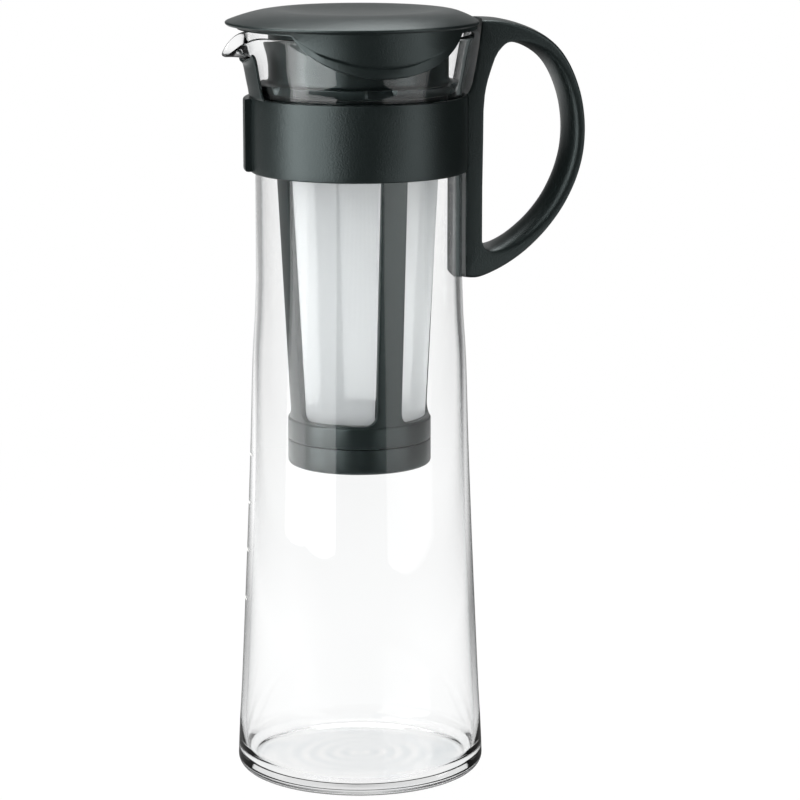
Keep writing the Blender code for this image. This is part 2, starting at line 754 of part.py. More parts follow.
def main():
    clear_scene()
    glass = material("clear_glass", (0.80, 0.88, 0.88), 0.02, alpha=0.25)
    plastic = material("dark_plastic", (0.022, 0.032, 0.030), 0.42)
    gauze = material("filter_mesh", (0.62, 0.66, 0.68), 0.65, alpha=0.8)
    make_jug(glass)
    make_handle_band(plastic)
    strainer_lift = axis_empty("strainer_lift", seat_low())
    lid_lift = axis_empty("lid_lift", CUP_TOP, strainer_lift)
    cap_pull = axis_empty("cap_pull", RING_FOOT, strainer_lift)
    carried_by(make_strainer_frame(plastic), strainer_lift)
    for panel in make_filter_panels(gauze):
        carried_by(panel, strainer_lift)
    carried_by(make_strainer_cap(plastic), cap_pull)
    carried_by(make_lid(plastic), lid_lift)


main()
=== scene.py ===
# %% [markdown]
# # Looks for a cold brew coffee maker
#
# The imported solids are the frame. They have the right shapes and sizes, but their round walls have flat
# facets, which a clear glass and a shiny cup would show at once. This script loads them, models each piece
# again with fine round walls and rolled edges in the same place, gives it a finish, and lights the whole
# like a studio photograph of kitchen ware.

# %% Load the frame
import math

import bmesh
import bpy
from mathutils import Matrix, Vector


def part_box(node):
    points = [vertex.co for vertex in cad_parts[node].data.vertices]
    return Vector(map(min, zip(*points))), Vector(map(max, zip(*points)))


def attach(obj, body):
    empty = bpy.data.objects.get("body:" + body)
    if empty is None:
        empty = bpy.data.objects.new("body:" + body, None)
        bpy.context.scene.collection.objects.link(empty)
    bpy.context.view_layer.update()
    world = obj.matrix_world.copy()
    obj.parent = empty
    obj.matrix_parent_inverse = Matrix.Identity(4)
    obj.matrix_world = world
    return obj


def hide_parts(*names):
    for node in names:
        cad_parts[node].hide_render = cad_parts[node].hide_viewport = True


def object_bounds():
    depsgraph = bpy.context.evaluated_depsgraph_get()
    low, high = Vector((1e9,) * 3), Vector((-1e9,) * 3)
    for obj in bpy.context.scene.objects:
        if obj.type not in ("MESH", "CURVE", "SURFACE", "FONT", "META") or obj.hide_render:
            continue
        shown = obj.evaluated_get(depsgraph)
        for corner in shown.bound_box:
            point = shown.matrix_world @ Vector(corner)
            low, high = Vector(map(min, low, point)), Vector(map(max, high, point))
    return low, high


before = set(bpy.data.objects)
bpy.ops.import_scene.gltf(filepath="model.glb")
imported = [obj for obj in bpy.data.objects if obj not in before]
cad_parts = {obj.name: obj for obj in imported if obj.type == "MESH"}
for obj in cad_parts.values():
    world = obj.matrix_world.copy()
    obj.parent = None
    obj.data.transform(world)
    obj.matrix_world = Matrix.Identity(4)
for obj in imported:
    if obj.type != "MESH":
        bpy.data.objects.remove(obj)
cad_low, cad_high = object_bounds()

# %% [markdown]
# ## Camera
#
# A product photograph of a tall jug is taken from a little above, with a long lens, so that its sides stay
# nearly upright. The azimuth is how far the camera stands to the left of the handle's plane. Height,
# distance and pitch belong together: they put the lid at the top edge and the foot at the bottom edge.

# %% Camera
CAMERA_AZIMUTH = math.radians(13.5)
CAMERA_PITCH = math.radians(11.23)
CAMERA_DISTANCE = 1.215
CAMERA_SIDESTEP = 0.0158
CAMERA_HEIGHT = 0.3876
CAMERA_LENS = 143.1

away = Vector((math.sin(CAMERA_AZIMUTH), math.cos(CAMERA_AZIMUTH), 0))
rightward = Vector((math.cos(CAMERA_AZIMUTH), -math.sin(CAMERA_AZIMUTH), 0))
camera_place = CAMERA_SIDESTEP * rightward - CAMERA_DISTANCE * away + Vector((0, 0, CAMERA_HEIGHT))
bpy.ops.object.camera_add(
    location=camera_place, rotation=(math.pi / 2 - CAMERA_PITCH, 0, -CAMERA_AZIMUTH)
)
camera = bpy.context.object
camera.name = "photo_camera"
camera.data.lens = CAMERA_LENS
camera.data.clip_end = 100
bpy.context.scene.camera = camera
bpy.context.scene.view_settings.view_transform = "Standard"
print("camera at", tuple(round(value, 4) for value in camera_place))

# %% [markdown]
# ## Shader sums
#
# Node trees read badly as long lists of links. A Wire stands for one output socket, and a sum on it, such as
# `1 - mask * 0.5`, adds the Math nodes. Every other node comes from Finish.node, which takes the node's type,
# its settings and what goes into its sockets.


# %% Shader helpers
class Wire:
    """One output socket of a finish, which can be used in sums."""

    def __init__(self, finish, socket):
        self.finish = finish
        self.socket = socket

    def maths(self, operation, first, second):
        return self.finish.node("ShaderNodeMath", {"operation": operation}, {0: first, 1: second})

    def __add__(self, other):
        return self.maths("ADD", self, other)

    def __radd__(self, other):
        return self.maths("ADD", other, self)

    def __sub__(self, other):
        return self.maths("SUBTRACT", self, other)

    def __rsub__(self, other):
        return self.maths("SUBTRACT", other, self)

    def __mul__(self, other):
        return self.maths("MULTIPLY", self, other)

    def __rmul__(self, other):
        return self.maths("MULTIPLY", other, self)

    def at_least(self, other):
        return self.maths("MAXIMUM", self, other)

    def at_most(self, other):
        return self.maths("MINIMUM", self, other)

    def sine(self):
        return self.finish.node("ShaderNodeMath", {"operation": "SINE"}, {0: self})

    def between(self, start, end, first=0.0, last=1.0):
        """Runs from first to last while this one runs from start to end."""
        sockets = {"Value": self, "From Min": start, "From Max": end, "To Min": first, "To Max": last}
        return self.finish.node("ShaderNodeMapRange", sockets=sockets)


class Finish:
    """A material or world under construction."""

    def __init__(self, owner, output_type):
        owner.use_nodes = True
        self.owner = owner
        self.tree = owner.node_tree
        self.tree.nodes.clear()
        self.output = self.tree.nodes.new(output_type)

    def node(self, kind, settings=None, sockets=None, output=0):
        made = self.tree.nodes.new(kind)
        for name, value in (settings or {}).items():
            if name == "stops":
                set_stops(made.color_ramp, value)
            else:
                setattr(made, name, value)
        for name, value in (sockets or {}).items():
            if isinstance(value, Wire):
                self.tree.links.new(value.socket, made.inputs[name])
            else:
                made.inputs[name].default_value = value
        return Wire(self, made.outputs[output])

    def mix(self, factor, first, second):
        """A colour between two others."""
        return self.node(
            "ShaderNodeMix", {"data_type": "RGBA"}, {0: factor, 6: first, 7: second}, output=2
        )

    def noise(self, scale, detail=3.0, roughness=0.5, stretch=(1, 1, 1)):
        """Even noise over the piece's own place in space, in features per metre."""
        place = self.node("ShaderNodeTexCoord", output="Object")
        place = self.node("ShaderNodeMapping", sockets={"Vector": place, "Scale": stretch})
        return self.node(
            "ShaderNodeTexNoise",
            sockets={"Vector": place, "Scale": scale, "Detail": detail, "Roughness": roughness},
        )

    def bump(self, height, distance, strength):
        sockets = {"Height": height, "Distance": distance, "Strength": strength}
        return self.node("ShaderNodeBump", sockets=sockets)

    def shows(self, shader):
        self.tree.links.new(shader.socket, self.output.inputs["Surface"])
        return self.owner


def set_stops(ramp, stops):
    while len(ramp.elements) < len(stops):
        ramp.elements.new(0.5)
    for element, (place, colour) in zip(ramp.elements, stops):
        element.position = place
        element.color = colour


def new_finish(name):
    return Finish(bpy.data.materials.new(name), "ShaderNodeOutputMaterial")


def grey(level):
    return (level, level, level, 1.0)


# %% [markdown]
# ## Studio
#
# The photograph has a white surround, so the floor and the world are white where the camera meets them, also
# through the glass, and only there. A mirrored ray meets a darker studio, because the bands of light and
# dark that it shows are what makes clear glass and black resin readable. A ray that the thick foot mirrors
# twice on its way through meets a pale level, or the foot would turn black. All else is lit at a plain
# level. Two strong upright soft boxes stand side by side on the left. On the right stand two weak ones, a
# low wide one, which only the glass below the band mirrors, and a narrow one above it. All are close enough
# for the low parts of the glass to mirror them. One more hangs overhead, and a white wall glows behind. What
# is dark behind the camera gives the black core between the reflections.

# %% World
SURROUND = grey(1.0)
FILL_LEVEL = 0.42
BEHIND_CAMERA_LEVEL = 0.02
# Level of the backdrop as mirrored, from its left to its right, low down and high up
BACKDROP_LOW = ((0.30, 0.44), (0.65, 0.16))
BACKDROP_HIGH = ((0.15, 0.10), (0.42, 0.62), (0.62, 0.45), (0.85, 0.20))
BACKDROP_RISE = 0.15
BACKDROP_EDGE = 0.80
BACKDROP_FADE = 0.14
LED_LEVEL = 0.80

world = bpy.data.worlds.new("studio")
bpy.context.scene.world = world
studio = Finish(world, "ShaderNodeOutputWorld")


def ray(finish, name):
    """What the Light Path node knows of a ray, such as how often it was mirrored."""
    return finish.node("ShaderNodeLightPath", output=name)


def line_of_sight(finish):
    """One for a ray that comes straight from the camera or through glass, and one for a mirrored ray."""
    scattered = ray(finish, "Diffuse Depth").at_most(1)
    mirrored = ray(finish, "Glossy Depth").at_most(1) * (1 - scattered)
    seen = ray(finish, "Is Camera Ray").at_least(ray(finish, "Is Transmission Ray"))
    return seen * (1 - mirrored) * (1 - scattered), mirrored


def through_glass(finish):
    return ray(finish, "Transmission Depth").at_most(1)


def led_through_glass(finish):
    """One for a ray that was mirrored twice on its way through the glass, as in the thick foot."""
    return (ray(finish, "Glossy Depth") - 1).at_least(0).at_most(1) * through_glass(finish)


sees_white, glossy = line_of_sight(studio)
direction = studio.node("ShaderNodeTexCoord", output="Generated")


def along(finish, vector, axis):
    """How far a direction or place lies along an axis."""
    return finish.node(
        "ShaderNodeVectorMath", {"operation": "DOT_PRODUCT"}, {0: vector, 1: tuple(axis)}, output="Value"
    )


def backdrop_side(levels):
    return studio.node(
        "ShaderNodeValToRGB",
        {"stops": [(place, grey(level)) for place, level in levels]},
        {"Fac": along(studio, direction, rightward) + 0.5},
    )


rise = along(studio, direction, (0, 0, 1)).between(0.0, BACKDROP_RISE)
backdrop = studio.mix(rise, backdrop_side(BACKDROP_LOW), backdrop_side(BACKDROP_HIGH))
backdrop_share = along(studio, direction, away).between(BACKDROP_EDGE, BACKDROP_EDGE + BACKDROP_FADE)
backdrop_seen = studio.mix(backdrop_share, grey(BEHIND_CAMERA_LEVEL), backdrop)
backdrop_seen = studio.mix(led_through_glass(studio), backdrop_seen, grey(LED_LEVEL))
level = studio.mix(glossy, grey(FILL_LEVEL), backdrop_seen)
level = studio.mix(sees_white, level, SURROUND)
studio.shows(studio.node("ShaderNodeBackground", sockets={"Color": level, "Strength": 1.0}))

# %% Soft boxes
# Name, angle from the camera's side (to the right is positive), distance, centre height, size, radiance
SOFT_BOXES = (
    ("left_box_front", math.radians(-41), 0.54, 0.50, (0.34, 0.98), 2.9),
    ("left_box_side", math.radians(-68.5), 0.54, 0.50, (0.20, 0.98), 4.6),
    ("right_box_low", math.radians(54), 0.54, 0.0825, (0.52, 0.165), 1.3),
    ("right_box_high", math.radians(61), 0.54, 0.565, (0.24, 0.80), 1.5),
)
TOP_BOX_HEIGHT = 1.10
TOP_BOX_SIZE = (0.9, 0.7)
TOP_BOX_RADIANCE = 4.4
WALL_DISTANCE = 1.3
WALL_SIZE = (1.6, 1.2)
WALL_RADIANCE = 1.3


def add_soft_box(name, place, target, size, radiance):
    aim = (target - place).to_track_quat("-Z", "Y").to_euler()
    bpy.ops.object.light_add(type="AREA", location=place, rotation=aim)
    box = bpy.context.object
    box.name = name
    box.data.shape = "RECTANGLE"
    box.data.size, box.data.size_y = size
    box.data.energy = radiance * math.pi * size[0] * size[1]
    return box


object_middle = (cad_low + cad_high) / 2
for name, turn, distance, height, size, radiance in SOFT_BOXES:
    sideways = math.sin(turn) * rightward - math.cos(turn) * away
    place = distance * sideways + Vector((0, 0, height))
    add_soft_box(name, place, Vector((0, 0, height)), size, radiance)
# The wall lights what is matt. What mirrors it sees the world's own backdrop in its place.
wall_place = WALL_DISTANCE * away + Vector((0, 0, WALL_SIZE[1] / 2))
wall_glow = add_soft_box("wall_glow", wall_place, object_middle, WALL_SIZE, WALL_RADIANCE)
wall_glow.visible_glossy = False
wall_glow.visible_transmission = False
wall_glow.visible_camera = False
add_soft_box(
    "top_box", Vector((0, 0.25, TOP_BOX_HEIGHT)), object_middle, TOP_BOX_SIZE, TOP_BOX_RADIANCE
)

# %% Floor
FLOOR_SIZE = 12.0
FLOOR_DROP = 0.0002
FLOOR_SHINES = 0.97
FLOOR_COLOUR = grey(0.90)
# A mirror-like surface sees the paper end this far in front of the object
PAPER_EDGE = -0.42
PAPER_FADE = 0.25
# and sees painted pools of light on it where the soft boxes stand. Each pair is how far to the right, and how
# bright the painted light is
PAINTED_PAPER_POOLS = (
    (-1.00, 0.30),
    (-0.55, 0.40),
    (-0.33, 1.20),
    (-0.15, 0.40),
    (0.00, 0.05),
    (0.15, 0.20),
    (0.30, 0.80),
    (0.50, 0.10),
    (1.00, 0.015),
)
PAPER_MIRRORED = 1.2
# Close round the foot the paper stays white for the thick glass of the heel, which mirrors it
FOOT_PAPER_LEVEL = 0.92
FOOT_PAPER_RADIUS = 0.08
FOOT_PAPER_FADE = 0.20
# Far behind the object, where no shadow falls, the paper shines all by itself
FAR_PAPER = (0.15, 0.60)


def length(finish, vector):
    return finish.node("ShaderNodeVectorMath", {"operation": "LENGTH"}, {0: vector}, output="Value")


bpy.ops.object.select_all(action="DESELECT")
bpy.ops.mesh.primitive_plane_add(size=FLOOR_SIZE, location=(0, 0, -FLOOR_DROP))
floor = bpy.context.object
floor.name = "floor"
paper = new_finish("white_paper")
floor_seen, floor_mirrored = line_of_sight(paper)
matt = paper.node("ShaderNodeBsdfDiffuse", sockets={"Color": FLOOR_COLOUR})
white = paper.node("ShaderNodeEmission", sockets={"Color": SURROUND, "Strength": 1.0})
floor_place = paper.node("ShaderNodeTexCoord", output="Object")
depth = along(paper, floor_place, away)
# Painted pools of light: the paper, as a mirror sees it, glows brighter where the soft boxes stand
painted_paper_pools = paper.node(
    "ShaderNodeValToRGB",
    {"stops": [(0.5 + 0.5 * place, grey(level / PAPER_MIRRORED)) for place, level in PAINTED_PAPER_POOLS]},
    {"Fac": along(paper, floor_place, rightward) * 0.5 + 0.5},
)
paper_share = depth.between(PAPER_EDGE, PAPER_EDGE + PAPER_FADE)
mirrored_colour = paper.mix(paper_share, grey(BEHIND_CAMERA_LEVEL / PAPER_MIRRORED), painted_paper_pools)
from_foot = length(paper, floor_place)
foot_share = from_foot.between(FOOT_PAPER_RADIUS, FOOT_PAPER_RADIUS + FOOT_PAPER_FADE, 1.0, 0.0)
near_foot = (through_glass(paper) * foot_share).at_least(led_through_glass(paper))
mirrored_colour = paper.mix(near_foot, mirrored_colour, grey(FOOT_PAPER_LEVEL / PAPER_MIRRORED))
shines = depth.between(*FAR_PAPER, FLOOR_SHINES, 1.0)
mirrored = paper.node("ShaderNodeEmission", sockets={"Color": mirrored_colour, "Strength": PAPER_MIRRORED})
paper_look = paper.node("ShaderNodeMixShader", sockets={0: floor_seen * shines, 1: matt, 2: white})
paper_look = paper.node("ShaderNodeMixShader", sockets={0: floor_mirrored, 1: paper_look, 2: mirrored})
floor.data.materials.append(paper.shows(paper_look))

# %% [markdown]
# ## Two ways to make a wall
#
# Nearly everything here is turned: a line is drawn point by point with extrude, and spun round the jug's
# axis. The handle, the tongue and the mesh aren't round, so they start as a flat grid, which is pulled onto
# its form point by point, as a sheet over a mould. Both ways give even quads that shade cleanly.

# %% Modelling helpers
AROUND = 192
DOUBLES = 0.00001
SHARP_ANGLE = math.radians(38)


def rounded(corners, steps=4, closed=False):
    """A line through corners, each given as (point, roll). A roll over nothing rounds that corner off."""
    line = []
    count = len(corners)
    for i, (corner, roll) in enumerate(corners):
        corner = Vector(corner)
        if roll <= 0 or (not closed and i in (0, count - 1)):
            line.append(corner)
            continue
        before = Vector(corners[i - 1][0]) - corner
        after = Vector(corners[(i + 1) % count][0]) - corner
        start = corner + before.normalized() * min(roll, 0.48 * before.length)
        end = corner + after.normalized() * min(roll, 0.48 * after.length)
        for step in range(steps + 1):
            share = step / steps
            line.append((1 - share) ** 2 * start + 2 * share * (1 - share) * corner + share**2 * end)
    return line


def start_point(name, place):
    """A mesh of one selected point, left in edit mode."""
    bpy.ops.object.select_all(action="DESELECT")
    bpy.ops.mesh.primitive_plane_add(size=1, location=place)
    bpy.ops.object.transform_apply(location=True)
    obj = bpy.context.object
    obj.name = obj.data.name = name
    bpy.ops.object.mode_set(mode="EDIT")
    bpy.ops.mesh.select_all(action="SELECT")
    bpy.ops.mesh.merge(type="CENTER")
    return obj


def close_up(obj):
    """Merges what meets, turns the faces outwards and shades all but the sharp edges smooth."""
    bpy.ops.mesh.select_all(action="SELECT")
    bpy.ops.mesh.remove_doubles(threshold=DOUBLES)
    bpy.ops.mesh.normals_make_consistent(inside=False)
    bpy.ops.object.mode_set(mode="OBJECT")
    bpy.ops.object.shade_smooth_by_angle(angle=SHARP_ANGLE)
    return obj


def spin_line(name, line, start=0.0, end=2 * math.pi, steps=AROUND, closed=False, capped=False):
    """Draws a line of (r, z) points and spins it round the jug's axis, from one angle to another."""
    places = [Vector((r * math.cos(start), r * math.sin(start), z)) for r, z in line]
    if closed:
        places.append(places[0])
    obj = start_point(name, places[0])
    for here, there in zip(places, places[1:]):
        bpy.ops.mesh.extrude_region_move(TRANSFORM_OT_translate={"value": there - here})
    bpy.ops.mesh.select_all(action="SELECT")
    if closed:
        bpy.ops.mesh.remove_doubles(threshold=DOUBLES)
    if capped:
        bpy.ops.mesh.edge_face_add()
    # The tool turns clockwise seen from above, so the angle is taken the other way round
    bpy.ops.mesh.spin(steps=steps, angle=start - end, center=(0, 0, 0), axis=(0, 0, 1))
    return close_up(obj)


def reshape(obj, shape):
    """Moves every point to where shape says, as sculpting would."""
    for vert in obj.data.vertices:
        vert.co = shape(vert.co)
    obj.data.update()


def pull_grid(name, columns, rows, place):
    """A flat grid pulled onto a form: place gives the point for a column and a row."""
    bpy.ops.object.select_all(action="DESELECT")
    bpy.ops.mesh.primitive_grid_add(x_subdivisions=columns, y_subdivisions=rows, size=1)
    obj = bpy.context.object
    obj.name = obj.data.name = name
    for vert in obj.data.vertices:
        column = round((vert.co.x + 0.5) * columns)
        row = round((vert.co.y + 0.5) * rows)
        vert.co = place(column, row)
    bpy.ops.object.mode_set(mode="EDIT")
    return close_up(obj)


def apply_modifier(obj, kind, **settings):
    """Adds a modifier with these settings and applies it at once."""
    bpy.ops.object.select_all(action="DESELECT")
    obj.select_set(True)
    bpy.context.view_layer.objects.active = obj
    modifier = obj.modifiers.new(kind.lower(), kind)
    for name, value in settings.items():
        setattr(modifier, name, value)
    bpy.ops.object.modifier_apply(modifier=modifier.name)


def told(obj):
    low, high = (Vector(corner) for corner in (obj.bound_box[0], obj.bound_box[6]))
    size = " x ".join(f"{1000 * side:.1f}" for side in high - low)
    print(f"{obj.name}: {size} mm, {len(obj.data.polygons)} faces")
    return obj


def lerp(start, end, share):
    return start + (end - start) * share


def eased(rows, steps):
    """The rows with steps - 1 more between each pair, on one smooth curve."""
    ends = [rows[0], *rows, rows[-1]]
    made = []
    for i in range(len(rows) - 1):
        for step in range(steps):
            made.append(
                tuple(smooth_value(*values, step / steps) for values in zip(*ends[i : i + 4]))
            )
    return [*made, tuple(rows[-1])]


def smooth_value(before, start, end, after, share):
    return 0.5 * (
        2 * start
        + (end - before) * share
        + (2 * before - 5 * start + 4 * end - after) * share**2
        + (3 * start - before - 3 * end + after) * share**3
    )


# %% [markdown]
# ## Glass jug
#
# The real jug is blown into a mould: a round heel, a slow taper to a straight neck, and a mouth that flares
# and ends in a fire-polished lip. Its wall is a little over 2 mm. One closed line, up the outside and down
# the inside, gives both faces of the wall, because light has to enter and leave real glass twice. The spout
# was drawn out of the soft rim by hand, so it is made the same way here: the rim's points are pushed
# outwards and let down round the pouring side.

# %% Jug sizes
_, jug_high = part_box("glass_jug")
FOOT_RADIUS = jug_high.y
NECK_RADIUS = FOOT_RADIUS - 0.0085
MOUTH_RADIUS = NECK_RADIUS + 0.0046
JUG_HEIGHT = 0.289
NECK_TOP = JUG_HEIGHT - 0.0245
TAPER_TOP = NECK_TOP - 0.0695
HEEL_RADIUS = 0.0045
GLASS_WALL = 0.0022
GLASS_FLOOR = 0.0035
INNER_CORNER = 0.0075
SEAT_GAP = 0.0003
# Height up the taper, and the share of the foot's extra radius that is left there
TAPER_SHARES = (
    (0.0, 1.0),
    (0.07, 0.93),
    (0.15, 0.82),
    (0.32, 0.64),
    (0.49, 0.47),
    (0.66, 0.32),
    (0.83, 0.20),
    (0.92, 0.07),
    (1.0, 0.0),
)
# Height up the mouth, and the share of the flare that is reached there
FLARE_SHARES = (
    (0.0, 0.0),
    (0.14, 0.11),
    (0.30, 0.28),
    (0.47, 0.44),
    (0.63, 0.57),
    (0.80, 0.74),
    (0.92, 0.89),
    (1.0, 1.0),
)
SPOUT_REACH = 0.0090
SPOUT_DROOP = 0.0068
SPOUT_LIP = 0.0014
SPOUT_ROOT = JUG_HEIGHT - 0.015
SPOUT_HALF_ANGLE = math.radians(16.5)
DROOP_HALF_ANGLE = 0.8 * SPOUT_HALF_ANGLE
SPOUT_CROWDING = 0.35


# %% Jug line
def arc(centre, radius, start, end, steps=8):
    """Points (r, z) on an arc, angles in degrees from the outward direction."""
    turns = [math.radians(lerp(start, end, step / steps)) for step in range(steps + 1)]
    return [
        (centre[0] + radius * math.cos(turn), centre[1] + radius * math.sin(turn)) for turn in turns
    ]


def jug_line():
    heel = arc((FOOT_RADIUS - HEEL_RADIUS, HEEL_RADIUS), HEEL_RADIUS, -90, 0)
    outside = []
    for height_share, radius_share in eased(TAPER_SHARES, 3)[1:]:
        outside.append(
            (lerp(NECK_RADIUS, FOOT_RADIUS, radius_share), lerp(HEEL_RADIUS, TAPER_TOP, height_share))
        )
    outside.append((NECK_RADIUS, lerp(TAPER_TOP, NECK_TOP, 0.5)))
    lip = GLASS_WALL / 2
    for height_share, radius_share in eased(FLARE_SHARES, 3):
        outside.append(
            (
                lerp(NECK_RADIUS, MOUTH_RADIUS, radius_share),
                lerp(NECK_TOP, JUG_HEIGHT - lip, height_share),
            )
        )
    rim = arc((MOUTH_RADIUS - lip, JUG_HEIGHT - lip), lip, 0, 180)[1:-1]
    corner_top = GLASS_FLOOR + INNER_CORNER
    inside = [(r - GLASS_WALL, z) for r, z in outside if z > corner_top + HEEL_RADIUS]
    corner = arc((inside[0][0] - INNER_CORNER, corner_top), INNER_CORNER, 0, -90)
    return [(0.0, 0.0), *heel, *outside, *rim, *reversed(inside), *corner, (0.0, GLASS_FLOOR)]


def read_curve(shares, at):
    for (low, first), (high, second) in zip(shares, shares[1:]):
        if at <= high:
            return lerp(first, second, (at - low) / (high - low))
    return shares[-1][1]


def mouth_radius(height):
    share = max(0.0, (height - NECK_TOP) / (JUG_HEIGHT - NECK_TOP))
    return lerp(NECK_RADIUS, MOUTH_RADIUS, read_curve(FLARE_SHARES, share))


def spout_share(angle, half_angle):
    turned_away = math.pi - abs(math.remainder(angle, 2 * math.pi))
    return math.exp(-((turned_away / half_angle) ** 3))


def spout_rise(height):
    return max(0.0, (height - SPOUT_ROOT) / (JUG_HEIGHT - SPOUT_ROOT))


def spout_push(angle, height):
    return SPOUT_REACH * spout_share(angle, SPOUT_HALF_ANGLE) * spout_rise(height) ** 3.5


def spout_drop(angle, height, wall_share):
    """How far the glass is let down: its outside sags more than its inside, so the lip is thick."""
    depth = SPOUT_DROOP + SPOUT_LIP * wall_share
    return depth * spout_share(angle, DROOP_HALF_ANGLE) * spout_rise(height) ** 2


def pour_shape(co):
    """Draws the rim out to the spout, with its points crowded where the shape is finest."""
    angle = math.atan2(co.y, co.x)
    angle += SPOUT_CROWDING * math.sin(angle)
    radius = math.hypot(co.x, co.y)
    wall_share = (radius - mouth_radius(co.z) + GLASS_WALL) / GLASS_WALL
    radius += spout_push(angle, co.z)
    height = co.z - spout_drop(angle, co.z, min(1.0, max(0.0, wall_share)))
    return Vector((radius * math.cos(angle), radius * math.sin(angle), height))


# %% Blow the jug
jug_glass = spin_line("jug_glass", jug_line())
reshape(jug_glass, pour_shape)
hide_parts("glass_jug")
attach(jug_glass, "jug")
told(jug_glass)

# %% [markdown]
# ## Level marks
#
# The jug carries printed level lines on its pouring side, one for each 100 ml. Each is a thin stroke of
# pale ink fired on the glass, so each is a strip laid on the glass and given the thickness of the print. The
# words and figures beside them are left out.

# %% Level marks
MARK_HEIGHTS = (0.0684, 0.0878, 0.1069, 0.1260)
MARK_HALF_ANGLE = math.radians(7)
MARK_MIDDLE_ANGLE = math.radians(170)
MARK_STROKE = 0.0007
MARK_INK = 0.00006
taper = eased(TAPER_SHARES, 3)


def jug_radius(height):
    share = read_curve(taper, (height - HEEL_RADIUS) / (TAPER_TOP - HEEL_RADIUS))
    return lerp(NECK_RADIUS, FOOT_RADIUS, share)


def mark_place(level):
    def place(column, row):
        height = level + lerp(-MARK_STROKE, MARK_STROKE, row / 4) / 2
        turn = lerp(-MARK_HALF_ANGLE, MARK_HALF_ANGLE, column / 24)
        angle = MARK_MIDDLE_ANGLE + turn
        radius = jug_radius(height) + MARK_INK / 4
        return Vector((radius * math.cos(angle), radius * math.sin(angle), height))

    return place


level_marks = []
for index, level in enumerate(MARK_HEIGHTS):
    stroke = pull_grid(f"level_mark_{index + 1}", 24, 4, mark_place(level))
    apply_modifier(stroke, "SOLIDIFY", thickness=MARK_INK, offset=-1.0)
    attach(stroke, "jug")
    level_marks.append(told(stroke))

# %% [markdown]
# ## Handle band
#
# One black moulding holds the jug: a band round the neck, closed beside the spout by an overlapping clasp,
# a tongue that stands up under the spout, and the loop of the handle. The band and the clasp are turned.

# %% Band and clasp
BAND_HEIGHT = 0.0290
BAND_WALL = 0.0015
BAND_CROWN = 0.0003
BAND_TOP = NECK_TOP + 0.0008
BAND_FOOT = BAND_TOP - BAND_HEIGHT
BAND_ROLL = 0.0006
CROWN_ROLL = 0.006
BAND_SLIT_ANGLE = math.radians(162)
BAND_SLIT_WIDTH = 0.0007
CLASP_NEAR_ANGLE = math.radians(180)
CLASP_FAR_ANGLE = math.radians(152)
CLASP_WALL = 0.0021
CLASP_ROLL = 0.0011
CLASP_SINK = 0.0002

band_inner = NECK_RADIUS + SEAT_GAP
band_outer = band_inner + BAND_WALL
band_line = rounded(
    [
        ((band_inner, BAND_FOOT), 0),
        ((band_outer, BAND_FOOT), BAND_ROLL),
        ((band_outer + BAND_CROWN, lerp(BAND_FOOT, BAND_TOP, 0.25)), CROWN_ROLL),
        ((band_outer + BAND_CROWN, lerp(BAND_FOOT, BAND_TOP, 0.75)), CROWN_ROLL),
        ((band_outer, BAND_TOP), BAND_ROLL),
        ((band_inner, BAND_TOP), 0),
    ]
)
slit = BAND_SLIT_WIDTH / band_outer
neck_band = spin_line(
    "neck_band",
    band_line,
    BAND_SLIT_ANGLE - 2 * math.pi + slit / 2,
    BAND_SLIT_ANGLE - slit / 2,
    closed=True,
    capped=True,
)
clasp_inner = band_outer + BAND_CROWN - CLASP_SINK
clasp_outer = band_outer + BAND_CROWN + SEAT_GAP + CLASP_WALL
clasp_line = rounded(
    [
        ((clasp_inner, BAND_FOOT + BAND_ROLL), 0),
        ((clasp_outer, BAND_FOOT + BAND_ROLL), CLASP_ROLL),
        ((clasp_outer, BAND_TOP - BAND_ROLL), CLASP_ROLL),
        ((clasp_inner, BAND_TOP - BAND_ROLL), 0),
    ]
)
band_clasp = spin_line(
    "band_clasp", clasp_line, CLASP_FAR_ANGLE, CLASP_NEAR_ANGLE, steps=24, closed=True, capped=True
)
for piece in (neck_band, band_clasp):
    told(piece)

# %% [markdown]
# ## Tongue
#
# The tongue leans out with the glass and has a notch in its top edge, in which the spout lies. A grid
# follows the glass a gap outside it. Solidify gives the grid its wall and Bevel rounds the wall's edges.

# %% Tongue
TONGUE_HALF_ANGLE = math.radians(16)
TONGUE_TOP = JUG_HEIGHT - 0.0063
TONGUE_WALL = 0.0012
TONGUE_ROLL = 0.00045
TONGUE_GAP = 0.0008
TONGUE_NOTCH = 0.0034
NOTCH_HALF_ANGLE = math.radians(14.5)
HORN_ROUNDING = 0.0009
HORN_TOP_SHARE = 0.90
FILLET_ANGLE = math.radians(2.2)
FILLET_HEIGHT = 0.0012
TONGUE_COLUMNS, TONGUE_ROWS = 80, 40


def tongue_place(column, row):
    share = lerp(-1.0, 1.0, column / TONGUE_COLUMNS)
    turn = share * TONGUE_HALF_ANGLE
    dip = TONGUE_NOTCH * max(0.0, 1 - abs(turn) / NOTCH_HALF_ANGLE) ** 0.5
    dip += HORN_ROUNDING * max(0.0, (abs(share) - HORN_TOP_SHARE) / (1 - HORN_TOP_SHARE)) ** 2
    height = lerp(BAND_TOP - 2 * BAND_WALL, TONGUE_TOP - dip, row / TONGUE_ROWS)
    above_band = max(0.0, height - BAND_TOP)
    angle = math.pi + turn + share * FILLET_ANGLE * math.exp(-above_band / FILLET_HEIGHT)
    # The level that this part of the glass had before it was let down
    glass_height = height
    for _ in range(8):
        glass_height = height + spout_drop(angle, glass_height, 1.0)
    glass = mouth_radius(glass_height) + spout_push(angle, glass_height)
    radius = max(band_inner + BAND_WALL / 4, glass + TONGUE_GAP)
    return Vector((radius * math.cos(angle), radius * math.sin(angle), height))


